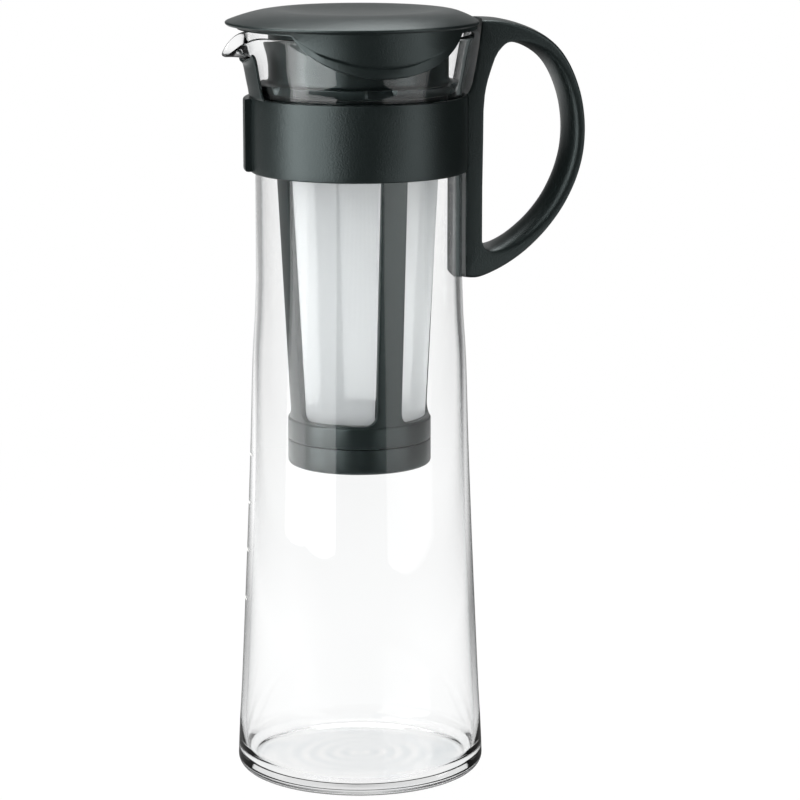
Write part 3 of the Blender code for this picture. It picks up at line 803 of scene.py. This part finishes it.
def sink_foot(co):
    """Keeps the tongue's foot inside the band's wall, so that its face runs out of the band's face."""
    radius = math.hypot(co.x, co.y)
    limit = band_outer - BAND_WALL / 5 + max(0.0, co.z - BAND_TOP + BAND_ROLL)
    shrink = min(1.0, limit / radius)
    return Vector((co.x * shrink, co.y * shrink, co.z))


spout_tongue = pull_grid("spout_tongue", TONGUE_COLUMNS, TONGUE_ROWS, tongue_place)
apply_modifier(spout_tongue, "SOLIDIFY", thickness=TONGUE_WALL, offset=-1.0)
reshape(spout_tongue, sink_foot)
if spout_tongue.bound_box[0][0] > -mouth_radius(TONGUE_TOP) - TONGUE_GAP - TONGUE_WALL / 2:
    print("the tongue's wall grew inwards")
apply_modifier(
    spout_tongue, "BEVEL", width=TONGUE_ROLL, segments=3, limit_method="ANGLE", angle_limit=math.radians(50)
)
told(spout_tongue)

# %% [markdown]
# ## Handle loop
#
# The handle is a closed loop: up the glass beside the neck, out over the top, and down round the fingers in
# a long D. Its section is a flat strap with a bulged inner face for the grip. Each station below gives the
# outer edge and the edge of the finger hole as shares of the handle's length and height, and how full the
# bulge is. A grid with one column for each station and one row for each point of the section is pulled
# round them and closed on itself.

# %% Handle stations
handle_low, handle_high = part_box("handle_band")
HANDLE_WIDTH = 0.0200
HANDLE_ROOT = NECK_RADIUS
HANDLE_REACH = HANDLE_ROOT + 0.0476
HANDLE_TOP = JUG_HEIGHT + 0.0048
HANDLE_FOOT = HANDLE_TOP - 0.0991
HANDLE_CROWN = 0.0009
HANDLE_ROLL = 0.0013
GRIP_BULGE = 0.0050
ARM_SHARES = (
    (0.132, 0.997, 0.268, 0.876, 0.05),
    (0.294, 0.992, 0.343, 0.910, 0.10),
    (0.472, 0.970, 0.460, 0.916, 0.30),
    (0.630, 0.939, 0.596, 0.905, 0.56),
    (0.762, 0.893, 0.723, 0.873, 0.76),
    (0.847, 0.839, 0.813, 0.827, 0.88),
    (0.926, 0.760, 0.891, 0.754, 0.94),
    (0.979, 0.681, 0.949, 0.678, 0.98),
    (1.000, 0.584, 0.972, 0.584, 1.00),
    (0.996, 0.487, 0.968, 0.489, 1.00),
    (0.951, 0.408, 0.923, 0.413, 1.00),
    (0.894, 0.330, 0.866, 0.337, 0.98),
    (0.800, 0.253, 0.772, 0.263, 0.96),
    (0.683, 0.176, 0.655, 0.190, 0.92),
    (0.513, 0.100, 0.472, 0.127, 0.80),
    (0.394, 0.063, 0.349, 0.104, 0.60),
    (0.257, 0.025, 0.236, 0.092, 0.40),
    (0.113, 0.000, 0.168, 0.107, 0.20),
    (0.002, 0.002, 0.140, 0.139, 0.08),
)
SPINE_SHARES = (
    (0.000, 0.104, 0.140, 0.195, 0.05),
    (0.000, 0.306, 0.140, 0.356, 0.05),
    (0.000, 0.508, 0.145, 0.528, 0.05),
    (0.000, 0.639, 0.147, 0.649, 0.05),
    (0.000, 0.712, 0.157, 0.709, 0.05),
    (0.030, 0.728, 0.168, 0.740, 0.05),
    (0.053, 0.758, 0.183, 0.770, 0.05),
    (0.087, 0.839, 0.213, 0.815, 0.05),
    (0.111, 0.911, 0.240, 0.851, 0.05),
)
ARM_STEPS = 5
OUTER_SHARES = (-1.0, -0.75, -0.5, -0.25, 0.0, 0.25, 0.5, 0.75, 1.0)
INNER_SHARES = (1.0, 0.98, 0.92, 0.82, 0.68, 0.5, 0.26, 0.0, -0.26, -0.5, -0.68, -0.82, -0.92, -0.98, -1.0)


# %% Handle section
def loop_point(x_share, z_share):
    return Vector((lerp(HANDLE_ROOT, HANDLE_REACH, x_share), 0, lerp(HANDLE_FOOT, HANDLE_TOP, z_share)))


def handle_section(station):
    outer_x, outer_z, inner_x, inner_z, bulge, faces_jug = station
    half = HANDLE_WIDTH / 2
    outer, inner = loop_point(outer_x, outer_z), loop_point(inner_x, inner_z)
    inward = (inner - outer).normalized()
    jug_side = math.hypot(outer.x, half)
    corners = []
    for share in OUTER_SHARES:
        point = outer - inward * HANDLE_CROWN * (1 - share**2)
        if faces_jug:
            point = Vector((math.sqrt(jug_side**2 - (half * share) ** 2), 0, outer.z))
        corners.append((Vector((point.x, half * share, point.z)), HANDLE_ROLL if abs(share) == 1 else 0))
    for share in INNER_SHARES:
        point = inner + inward * GRIP_BULGE * bulge * math.sqrt(1 - share**2)
        corners.append((Vector((point.x, half * share, point.z)), HANDLE_ROLL if abs(share) == 1 else 0))
    return rounded(corners, steps=5, closed=True)


def calmed(rows):
    """The rows with their point-to-point unevenness taken out, and their curve kept."""
    made = list(rows)
    for i in range(2, len(rows) - 2):
        near = zip(*rows[i - 2 : i + 3])
        made[i] = tuple((10 * c + 4 * (b + d) - a - e) / 16 for a, b, c, d, e in near)
    return made


arm = eased(calmed(calmed(ARM_SHARES)), ARM_STEPS)
stations = [(*row, i in (0, len(arm) - 1)) for i, row in enumerate(arm)]
stations += [(*row, True) for row in SPINE_SHARES]
sections = [handle_section(station) for station in stations]

# %% Pull the handle
handle_loop = pull_grid(
    "handle_loop",
    len(sections),
    len(sections[0]),
    lambda column, row: sections[column % len(sections)][row % len(sections[0])],
)
told(handle_loop)
print("the band with its handle, as packed:", tuple(handle_high - handle_low))
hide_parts("handle_band")
for piece in (neck_band, band_clasp, spout_tongue, handle_loop):
    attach(piece, "jug")

# %% [markdown]
# ## Strainer
#
# Cup, seat, ribs and bottom ring are one shiny moulding, turned as one closed line. Four windows are then
# cut through its basket with rounded blocks, which leaves four ribs, and a narrow bevel breaks every edge,
# because it is the edges that catch the light.

# %% Strainer sizes
frame_low, frame_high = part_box("strainer_frame")
CUP_TOP = frame_high.z
CUP_RADIUS = MOUTH_RADIUS - 0.0099
CUP_ROUNDING = 0.0025
STRAINER_WALL = 0.0022
BASKET_TOP_RADIUS = CUP_RADIUS - 0.0005
BASKET_FOOT_RADIUS = BASKET_TOP_RADIUS - 0.0068
RING_FOOT = frame_low.z
RING_TOP = RING_FOOT + 0.0083
RING_STEP = 0.0006
SEAT_DRAFT = 0.0010
SEAT_LOW = lerp(NECK_TOP, JUG_HEIGHT, 0.10)
SEAT_HIGH = lerp(NECK_TOP, JUG_HEIGHT, 0.25)
WINDOW_FOOT = RING_TOP + 0.0004
WINDOW_TOP = SEAT_LOW - 0.0110
WINDOW_CORNER = 0.0042
WINDOW_COUNT = 4
RIB_WIDTH = 0.0100
RIB_TURN = math.radians(12.5)
POUR_GAP_COUNT = 6
POUR_GAP_DEPTH = 0.0026
POUR_GAP_HALF_ANGLE = math.radians(8)
CUTTER_OVERRUN = 0.010
EDGE_BREAK = 0.00030


def basket_radius(height):
    share = (height - RING_TOP) / (SEAT_LOW - RING_TOP)
    return lerp(BASKET_FOOT_RADIUS, BASKET_TOP_RADIUS, share)


def seat_radius(height):
    return mouth_radius(height) - GLASS_WALL - SEAT_GAP


# %% Turn the strainer
def strainer_line():
    edge = STRAINER_WALL / 4
    ring_radius = BASKET_FOOT_RADIUS + RING_STEP
    shoulder = SEAT_HIGH + CUP_ROUNDING
    inner_foot = BASKET_FOOT_RADIUS - STRAINER_WALL
    levels = [lerp(WINDOW_TOP, WINDOW_FOOT, step / 24) for step in range(25)]
    corners = [
        ((CUP_RADIUS - STRAINER_WALL, CUP_TOP), edge),
        ((CUP_RADIUS, CUP_TOP), edge),
        ((CUP_RADIUS, SEAT_HIGH), CUP_ROUNDING),
        ((seat_radius(SEAT_HIGH), SEAT_HIGH), edge),
        ((seat_radius(SEAT_LOW) - SEAT_DRAFT, SEAT_LOW), edge),
        ((BASKET_TOP_RADIUS, SEAT_LOW - edge), edge),
        *(((basket_radius(level), level), 0) for level in levels),
        ((BASKET_FOOT_RADIUS, RING_TOP), 0),
        ((ring_radius, RING_TOP - RING_STEP), RING_STEP / 2),
        ((ring_radius, RING_FOOT), RING_STEP / 2),
        ((inner_foot, RING_FOOT), 0),
        ((inner_foot, RING_TOP), 0),
        *(((basket_radius(level) - STRAINER_WALL, level), 0) for level in reversed(levels)),
        ((BASKET_TOP_RADIUS - STRAINER_WALL, SEAT_LOW), 0),
        ((CUP_RADIUS - STRAINER_WALL, shoulder), 0),
    ]
    return rounded(corners, steps=6, closed=True)


def pour_gap_shape(co):
    angle = math.atan2(co.y, co.x)
    radius = math.hypot(co.x, co.y)
    spacing = 2 * math.pi / POUR_GAP_COUNT
    in_gap = abs(math.remainder(angle - spacing / 2, spacing)) < POUR_GAP_HALF_ANGLE
    if in_gap and radius > CUP_RADIUS + CUP_ROUNDING:
        radius -= POUR_GAP_DEPTH
    return Vector((radius * math.cos(angle), radius * math.sin(angle), co.z))


strainer_frame = spin_line("strainer_moulding", [tuple(point) for point in strainer_line()], closed=True)
reshape(strainer_frame, pour_gap_shape)
told(strainer_frame)


# %% Cut the windows
def window_block(index):
    """A block as wide as the space between two ribs, its corners rounded, turned to its window."""
    near, far = RIB_WIDTH / 2, BASKET_TOP_RADIUS + CUTTER_OVERRUN
    middle = (near + far) / 2
    bpy.ops.object.select_all(action="DESELECT")
    bpy.ops.mesh.primitive_cube_add(size=1, location=(middle, middle, lerp(WINDOW_FOOT, WINDOW_TOP, 0.5)))
    block = bpy.context.object
    block.scale = (far - near, far - near, WINDOW_TOP - WINDOW_FOOT)
    bpy.ops.object.transform_apply(location=True, scale=True)
    bpy.ops.object.mode_set(mode="EDIT")
    bpy.ops.mesh.select_all(action="DESELECT")
    shape = bmesh.from_edit_mesh(block.data)
    for edge in shape.edges:
        first, second = (vert.co for vert in edge.verts)
        level = abs(first.z - second.z) < DOUBLES
        edge.select = level and min(max(first.x, second.x), max(first.y, second.y)) < far - DOUBLES
    bmesh.update_edit_mesh(block.data)
    bpy.ops.mesh.bevel(offset=WINDOW_CORNER, segments=10, profile=0.5)
    bpy.ops.object.mode_set(mode="OBJECT")
    block.rotation_euler.z = RIB_TURN + index * 2 * math.pi / WINDOW_COUNT
    bpy.ops.object.transform_apply(rotation=True)
    return block


for index in range(WINDOW_COUNT):
    block = window_block(index)
    apply_modifier(strainer_frame, "BOOLEAN", operation="DIFFERENCE", solver="EXACT", object=block)
    bpy.data.objects.remove(block)
apply_modifier(
    strainer_frame,
    "BEVEL",
    width=EDGE_BREAK,
    segments=2,
    limit_method="ANGLE",
    angle_limit=math.radians(50),
)
bpy.ops.object.shade_smooth_by_angle(angle=SHARP_ANGLE)
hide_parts("strainer_frame")
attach(strainer_frame, "strainer")
told(strainer_frame)

# %% [markdown]
# ## Mesh windows
#
# The filter is a very fine woven gauze, moulded into the ribs. Each window has its own sheet, a grid bent
# round the inside of the basket and given its thickness with Solidify. The weave itself is finer than a
# tenth of a millimetre of thread, so it belongs in the finish and not in the shape.

# %% Mesh sheets
MESH_WALL = 0.0005
MESH_COLUMNS, MESH_ROWS = 40, 24
mesh_sheets = []


def mesh_place(index):
    def place(column, row):
        height = lerp(WINDOW_FOOT + SEAT_GAP, WINDOW_TOP - SEAT_GAP, row / MESH_ROWS)
        radius = basket_radius(height) - STRAINER_WALL
        half_rib = math.asin((RIB_WIDTH / 2 + SEAT_GAP) / radius)
        turn = lerp(half_rib, math.pi / 2 - half_rib, column / MESH_COLUMNS)
        angle = RIB_TURN + index * 2 * math.pi / WINDOW_COUNT + turn
        return Vector((radius * math.cos(angle), radius * math.sin(angle), height))

    return place


for index in range(WINDOW_COUNT):
    name = f"mesh_sheet_{index + 1}"
    sheet = pull_grid(name, MESH_COLUMNS, MESH_ROWS, mesh_place(index))
    apply_modifier(sheet, "SOLIDIFY", thickness=MESH_WALL, offset=1.0)
    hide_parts(f"filter_panel_{index + 1}")
    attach(sheet, "strainer")
    mesh_sheets.append(told(sheet))

# %% [markdown]
# ## Strainer cap
#
# A shallow cup closes the basket from below. Its wall is flush with the ring, so only a fine dark line
# shows between them, and its spigot pushes up inside the ring.

# %% Turn the cap
cap_low, cap_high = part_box("strainer_cap")
CAP_CORNER = 0.0016
CAP_FLOOR = 0.0016
SPIGOT_WALL = 0.0014
CAP_ROLL = 0.00035

cap_top = RING_FOOT - SEAT_GAP
cap_radius = BASKET_FOOT_RADIUS + RING_STEP
spigot = BASKET_FOOT_RADIUS - STRAINER_WALL - SEAT_GAP
cap_line = rounded(
    [
        ((0.0, cap_low.z), 0),
        ((cap_radius, cap_low.z), CAP_CORNER),
        ((cap_radius, cap_top), CAP_ROLL),
        ((spigot, cap_top), 0),
        ((spigot, cap_high.z), CAP_ROLL),
        ((spigot - SPIGOT_WALL, cap_high.z), CAP_ROLL),
        ((spigot - SPIGOT_WALL, cap_low.z + CAP_FLOOR), CAP_ROLL),
        ((0.0, cap_low.z + CAP_FLOOR), 0),
    ],
    steps=6,
)
basket_cap = spin_line("basket_cap", [tuple(point) for point in cap_line])
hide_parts("strainer_cap")
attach(basket_cap, "cap")
told(basket_cap)

# %% [markdown]
# ## Lid
#
# The lid is a shallow dish with a thin edge, set off towards the spout so that it covers it. Its skirt is
# only a hem at the front and back but hangs down as a wing on each side, with a rolled lip that a finger
# and a thumb pinch. It is turned round, and its skirt is then drawn up between the wings.

# %% Lid sizes
lid_low, lid_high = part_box("lid")
LID_RADIUS = MOUTH_RADIUS + 0.00404
LID_OFFSET = 0.0025
LID_EDGE_FOOT = CUP_TOP + 0.0005
LID_EDGE = 0.0014
LID_CREST = lid_high.z
LID_CREST_RADIUS = LID_RADIUS * 0.66
LID_DISH = 0.0022
LID_WALL = 0.0022
LID_HEM_SHARE = 0.08
WING_FOOT = lid_low.z
WING_HALF_ANGLE = math.radians(46)
WING_WALL = 0.0015
WING_LIP = 0.0011
# The rolled lip keeps its height as the wing gets shallower, and runs out before the wing ends
LIP_HEIGHT = 0.0042
LIP_HALF_ANGLE = math.radians(35)
LIP_FADE_ANGLE = math.radians(5)
LIP_TOP_ROLL = 0.0006
LIP_FOOT_ROLL = 0.0012
SKIRT_ROLL = 0.002
GROOVE_ROLL = 0.0008
LID_FINE_ROLL = 0.0003
CEILING_ROLL = 0.0005
RUNNING_GAP = 0.0004
PLUG_DEPTH = 0.0060
PLUG_WALL = 0.0014


def lid_edge_radius(angle):
    return -LID_OFFSET * math.cos(angle) + math.sqrt(LID_RADIUS**2 - (LID_OFFSET * math.sin(angle)) ** 2)


def from_wing(angle):
    """The angle to the middle of the nearer wing."""
    return abs(abs(math.remainder(angle, 2 * math.pi)) - math.pi / 2)


def wing_share(angle):
    return max(LID_HEM_SHARE, max(0.0, 1 - (from_wing(angle) / WING_HALF_ANGLE) ** 2) ** 0.75)


def lid_shape(co):
    """Sets the disc off towards the spout and draws the skirt up between the two wings."""
    angle = math.atan2(co.y, co.x)
    radius = math.hypot(co.x, co.y)
    height = co.z
    edge = lid_edge_radius(angle)
    shift = edge - lid_edge_radius(math.pi / 2)
    rest_radius = CUP_RADIUS + STRAINER_WALL
    if height >= LID_EDGE_FOOT and radius > rest_radius:
        radius += shift * (radius - rest_radius) / (LID_RADIUS - rest_radius)
    elif radius > rest_radius:
        skirt = LID_EDGE_FOOT - WING_FOOT
        skirt_here = skirt * wing_share(angle)
        lip_here = min(LIP_HEIGHT, 0.3 * skirt_here)
        above_foot = height - WING_FOOT
        if above_foot < LIP_HEIGHT:
            height = LID_EDGE_FOOT - skirt_here + lip_here * above_foot / LIP_HEIGHT
            lip_share = min(1.0, max(0.0, (LIP_HALF_ANGLE - from_wing(angle)) / LIP_FADE_ANGLE))
            wing_face = MOUTH_RADIUS + RUNNING_GAP + WING_WALL
            radius = min(radius, wing_face + lip_share * max(0.0, radius - wing_face))
        else:
            down = (LID_EDGE_FOOT - height) / (skirt - LIP_HEIGHT)
            height = LID_EDGE_FOOT - (skirt_here - lip_here) * down
        radius = min(radius, edge - LID_EDGE / 2)
    return Vector((radius * math.cos(angle), radius * math.sin(angle), height))


# %% Turn the lid
def lid_line():
    edge_top = LID_EDGE_FOOT + LID_EDGE
    crest_rise = LID_CREST - edge_top
    outer = lid_edge_radius(math.pi / 2)
    wing_inner = MOUTH_RADIUS + RUNNING_GAP
    wing_outer = wing_inner + WING_WALL
    groove = WING_FOOT + LIP_HEIGHT
    plug_outer = CUP_RADIUS - STRAINER_WALL - SEAT_GAP
    seat = CUP_TOP + SEAT_GAP
    ceiling = LID_CREST - LID_DISH - LID_WALL
    dish = [
        (0.0, 1.0),
        (0.25, 0.955),
        (0.50, 0.80),
        (0.68, 0.55),
        (0.82, 0.27),
        (0.92, 0.07),
        (1.0, 0.0),
    ]
    slope = [(0.12, 0.02), (0.25, 0.08), (0.42, 0.20), (0.60, 0.40), (0.75, 0.60), (0.88, 0.80)]
    corners = [
        *(((LID_CREST_RADIUS * r, LID_CREST - LID_DISH * sag), 0) for r, sag in eased(dish, 3)),
        *(
            ((lerp(LID_CREST_RADIUS, outer, r), LID_CREST - crest_rise * fall), 0)
            for r, fall in eased(slope, 2)
        ),
        ((outer, edge_top), LID_EDGE * 0.6),
        ((outer, lerp(LID_EDGE_FOOT, edge_top, 0.45)), LID_EDGE * 0.2),
        ((lerp(wing_outer, outer, 0.60), LID_EDGE_FOOT - LID_EDGE / 8), LID_EDGE * 0.3),
        ((lerp(wing_outer, outer, 0.20), lerp(LID_EDGE_FOOT, groove, 0.6)), SKIRT_ROLL),
        ((wing_outer, groove), GROOVE_ROLL),
        ((wing_outer + WING_LIP, groove - WING_LIP / 2), LIP_TOP_ROLL),
        ((wing_outer + WING_LIP, WING_FOOT), LIP_FOOT_ROLL),
        ((wing_inner, WING_FOOT), LID_FINE_ROLL),
        ((wing_inner, LID_EDGE_FOOT - LID_EDGE / 2), 0),
        ((CUP_RADIUS + 2 * STRAINER_WALL, seat), 0),
        ((plug_outer, seat), 0),
        ((plug_outer, seat - PLUG_DEPTH), LID_FINE_ROLL),
        ((plug_outer - PLUG_WALL, seat - PLUG_DEPTH), LID_FINE_ROLL),
        ((plug_outer - PLUG_WALL, ceiling), CEILING_ROLL),
        ((0.0, ceiling), 0),
    ]
    return [tuple(point) for point in rounded(corners, steps=5)]


lid_top = spin_line("lid_dish", lid_line())
reshape(lid_top, lid_shape)
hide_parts("lid")
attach(lid_top, "lid")
told(lid_top)

# %% [markdown]
# ## Finishes
#
# The glass is clear, with a faint grey green that gathers where the eye meets it edge on. Layer Weight gives
# that, and the shadow rays pass it almost freely, because real glass throws only a light shadow. Real
# borosilicate glass has an index of 1.47. Here it is lower, because the large soft boxes would otherwise
# shine too strongly in the wall and veil the strainer behind it.

# %% Glass
GLASS_CLEAR = (0.997, 1.0, 1.0, 1.0)
GLASS_SIDE = (0.93, 0.945, 0.955, 1.0)
GLASS_EDGE = (0.30, 0.34, 0.35, 1.0)
GLASS_THICK = (0.80, 0.84, 0.86, 1.0)
GLASS_SHADOW = grey(0.93)
GLASS_IOR = 1.33
# The blown floor is a little thicker and thinner, in soft rings in its middle and in blotches round them
FLOOR_RING_SPACING = 0.0065
FLOOR_RING_WANDER = 0.004
RINGS_END_SHARES = (0.4, 0.8)
FLOOR_FADE_SHARE = 1.6
WAVE_DEPTH = 0.00025

glass = new_finish("clear_glass_look")
cloudy = glass.noise(45.0, detail=2.0)
facing = glass.node("ShaderNodeLayerWeight", sockets={"Blend": 0.35}, output="Facing")
tint = glass.node(
    "ShaderNodeValToRGB",
    {"stops": [(0.56, GLASS_CLEAR), (0.70, GLASS_SIDE), (0.83, GLASS_EDGE)]},
    {"Fac": facing},
)
glass_place = glass.node("ShaderNodeTexCoord", output="Object")
in_plan = glass.node("ShaderNodeMapping", sockets={"Vector": glass_place, "Scale": (1, 1, 0)})
from_axis = length(glass, in_plan)
glass_height = along(glass, glass_place, (0, 0, 1))
in_floor = glass_height.between(GLASS_FLOOR, FLOOR_FADE_SHARE * GLASS_FLOOR, 1.0, 0.0)
in_middle = from_axis.between(*(share * FOOT_RADIUS for share in RINGS_END_SHARES), 1.0, 0.0)
ring_turns = (from_axis + cloudy * FLOOR_RING_WANDER) * (2 * math.pi / FLOOR_RING_SPACING)
rings = ring_turns.sine() * 0.5 + 0.5
blotches = (cloudy * 3 - 1.35).at_least(0).at_most(1)
thick = in_floor * (in_middle * rings * 0.5 + (1 - in_middle) * blotches)
tint = glass.mix(thick, tint, GLASS_THICK)
waves = glass.noise(30.0, detail=1.0, stretch=(1, 1, 0.3))
body = glass.node(
    "ShaderNodeBsdfPrincipled",
    sockets={
        "Base Color": tint,
        "Roughness": 0.0,
        "IOR": GLASS_IOR,
        "Transmission Weight": 1.0,
        "Normal": glass.bump(waves, WAVE_DEPTH, 0.08),
    },
)
shade = glass.node("ShaderNodeBsdfTransparent", sockets={"Color": GLASS_SHADOW})
glass_mix = glass.node("ShaderNodeMixShader", sockets={0: ray(glass, "Is Shadow Ray"), 1: body, 2: shade})


def give_finish(pieces, material):
    """Gives each piece this finish and no other."""
    for piece in pieces:
        piece.data.materials.clear()
        piece.data.materials.append(material)


give_finish([jug_glass], glass.shows(glass_mix))

# %% [markdown]
# ## Dark plastic
#
# Two finishes of the same green black resin. Lid, band and handle came from a mould with a fine spark-worn
# grain, which spreads the light into a satin sheen. Cup, ribs, ring and cap came from a polished mould.


# %% Plastic
RESIN = (0.0034, 0.0058, 0.0056, 1.0)
RESIN_WORN = (0.0051, 0.0087, 0.0084, 1.0)
RESIN_SHEEN = (0.85, 1.0, 1.0, 1.0)
RESIN_IOR = 1.49
GRAIN_DEPTH = 0.0001


def dark_plastic(name, roughness, grain):
    made = new_finish(name)
    cloud = made.noise(55.0, detail=4.0, roughness=0.6)
    speck = made.noise(1500.0, detail=2.0)
    worn = made.noise(420.0, detail=3.0)
    surface = made.mix(cloud * 0.5, RESIN, RESIN_WORN)
    shader = made.node(
        "ShaderNodeBsdfPrincipled",
        sockets={
            "Base Color": surface,
            "Roughness": roughness - 0.05 + cloud * 0.06 + worn * 0.04,
            "IOR": RESIN_IOR,
            "Specular IOR Level": 0.70,
            "Specular Tint": RESIN_SHEEN,
            "Normal": made.bump(speck, GRAIN_DEPTH, grain),
        },
    )
    return made.shows(shader)


satin = dark_plastic("satin_plastic", 0.36, 0.9)
polished = dark_plastic("polished_plastic", 0.30, 0.03)
give_finish((neck_band, band_clasp, spout_tongue, handle_loop, lid_top), satin)
give_finish((strainer_frame, basket_cap), polished)

# %% [markdown]
# ## Gauze
#
# Fine polyester mesh looks like frosted film from an arm's length: it lets light through softly and shines
# bluish white along the threads. The weave is the higher of two sine waves, one round the basket and one up.

# %% Gauze finish
THREAD_SPACING = 0.00045
THREAD_DEPTH = 0.00008
THREAD_COLOURS = ((0.72, 0.77, 0.80, 1.0), (0.82, 0.86, 0.89, 1.0))
GAUZE_GLOW = (0.93, 0.94, 0.94, 1.0)
gauze = new_finish("woven_gauze")
place = gauze.node("ShaderNodeTexCoord", output="Object")
x, y, z = (gauze.node("ShaderNodeSeparateXYZ", sockets={0: place}, output=axis) for axis in "XYZ")
angle = gauze.node("ShaderNodeMath", {"operation": "ARCTAN2"}, {0: y, 1: x})
threads_per_turn = BASKET_FOOT_RADIUS * 2 * math.pi / THREAD_SPACING
warp = (angle * threads_per_turn).sine()
weft = (z * (2 * math.pi / THREAD_SPACING)).sine()
thread = warp.at_least(weft) * 0.5 + 0.5
uneven = gauze.noise(90.0, detail=3.0)
weave_colour = gauze.mix(uneven, *THREAD_COLOURS)
threads = gauze.node(
    "ShaderNodeBsdfPrincipled",
    sockets={
        "Base Color": weave_colour,
        "Roughness": 0.58 + uneven * 0.12,
        "IOR": 1.45,
        "Normal": gauze.bump(thread, THREAD_DEPTH, 0.5),
    },
)
glow = gauze.node("ShaderNodeBsdfTranslucent", sockets={"Color": GAUZE_GLOW})
holes = gauze.node("ShaderNodeBsdfTransparent", sockets={"Color": grey(1.0)})
cloth = gauze.node("ShaderNodeMixShader", sockets={0: 0.88, 1: threads, 2: glow})
gauze_look = gauze.node("ShaderNodeMixShader", sockets={0: 0.54 - thread * 0.16, 1: cloth, 2: holes})
give_finish(mesh_sheets, gauze.shows(gauze_look))

# %% [markdown]
# ## Ink
#
# The level lines are a matt, warm white ink, a little uneven where the screen laid it on thinner.

# %% Ink finish
INK_COLOURS = ((0.80, 0.80, 0.78, 1.0), (0.90, 0.90, 0.88, 1.0))
INK_DEPTH = 0.00002
ink = new_finish("fired_ink")
ink_cover = ink.noise(900.0, detail=3.0)
ink_look = ink.node(
    "ShaderNodeBsdfPrincipled",
    sockets={
        "Base Color": ink.mix(ink_cover, *INK_COLOURS),
        "Roughness": 0.45 + ink_cover * 0.2,
        "Normal": ink.bump(ink_cover, INK_DEPTH, 0.5),
    },
)
give_finish(level_marks, ink.shows(ink_look))
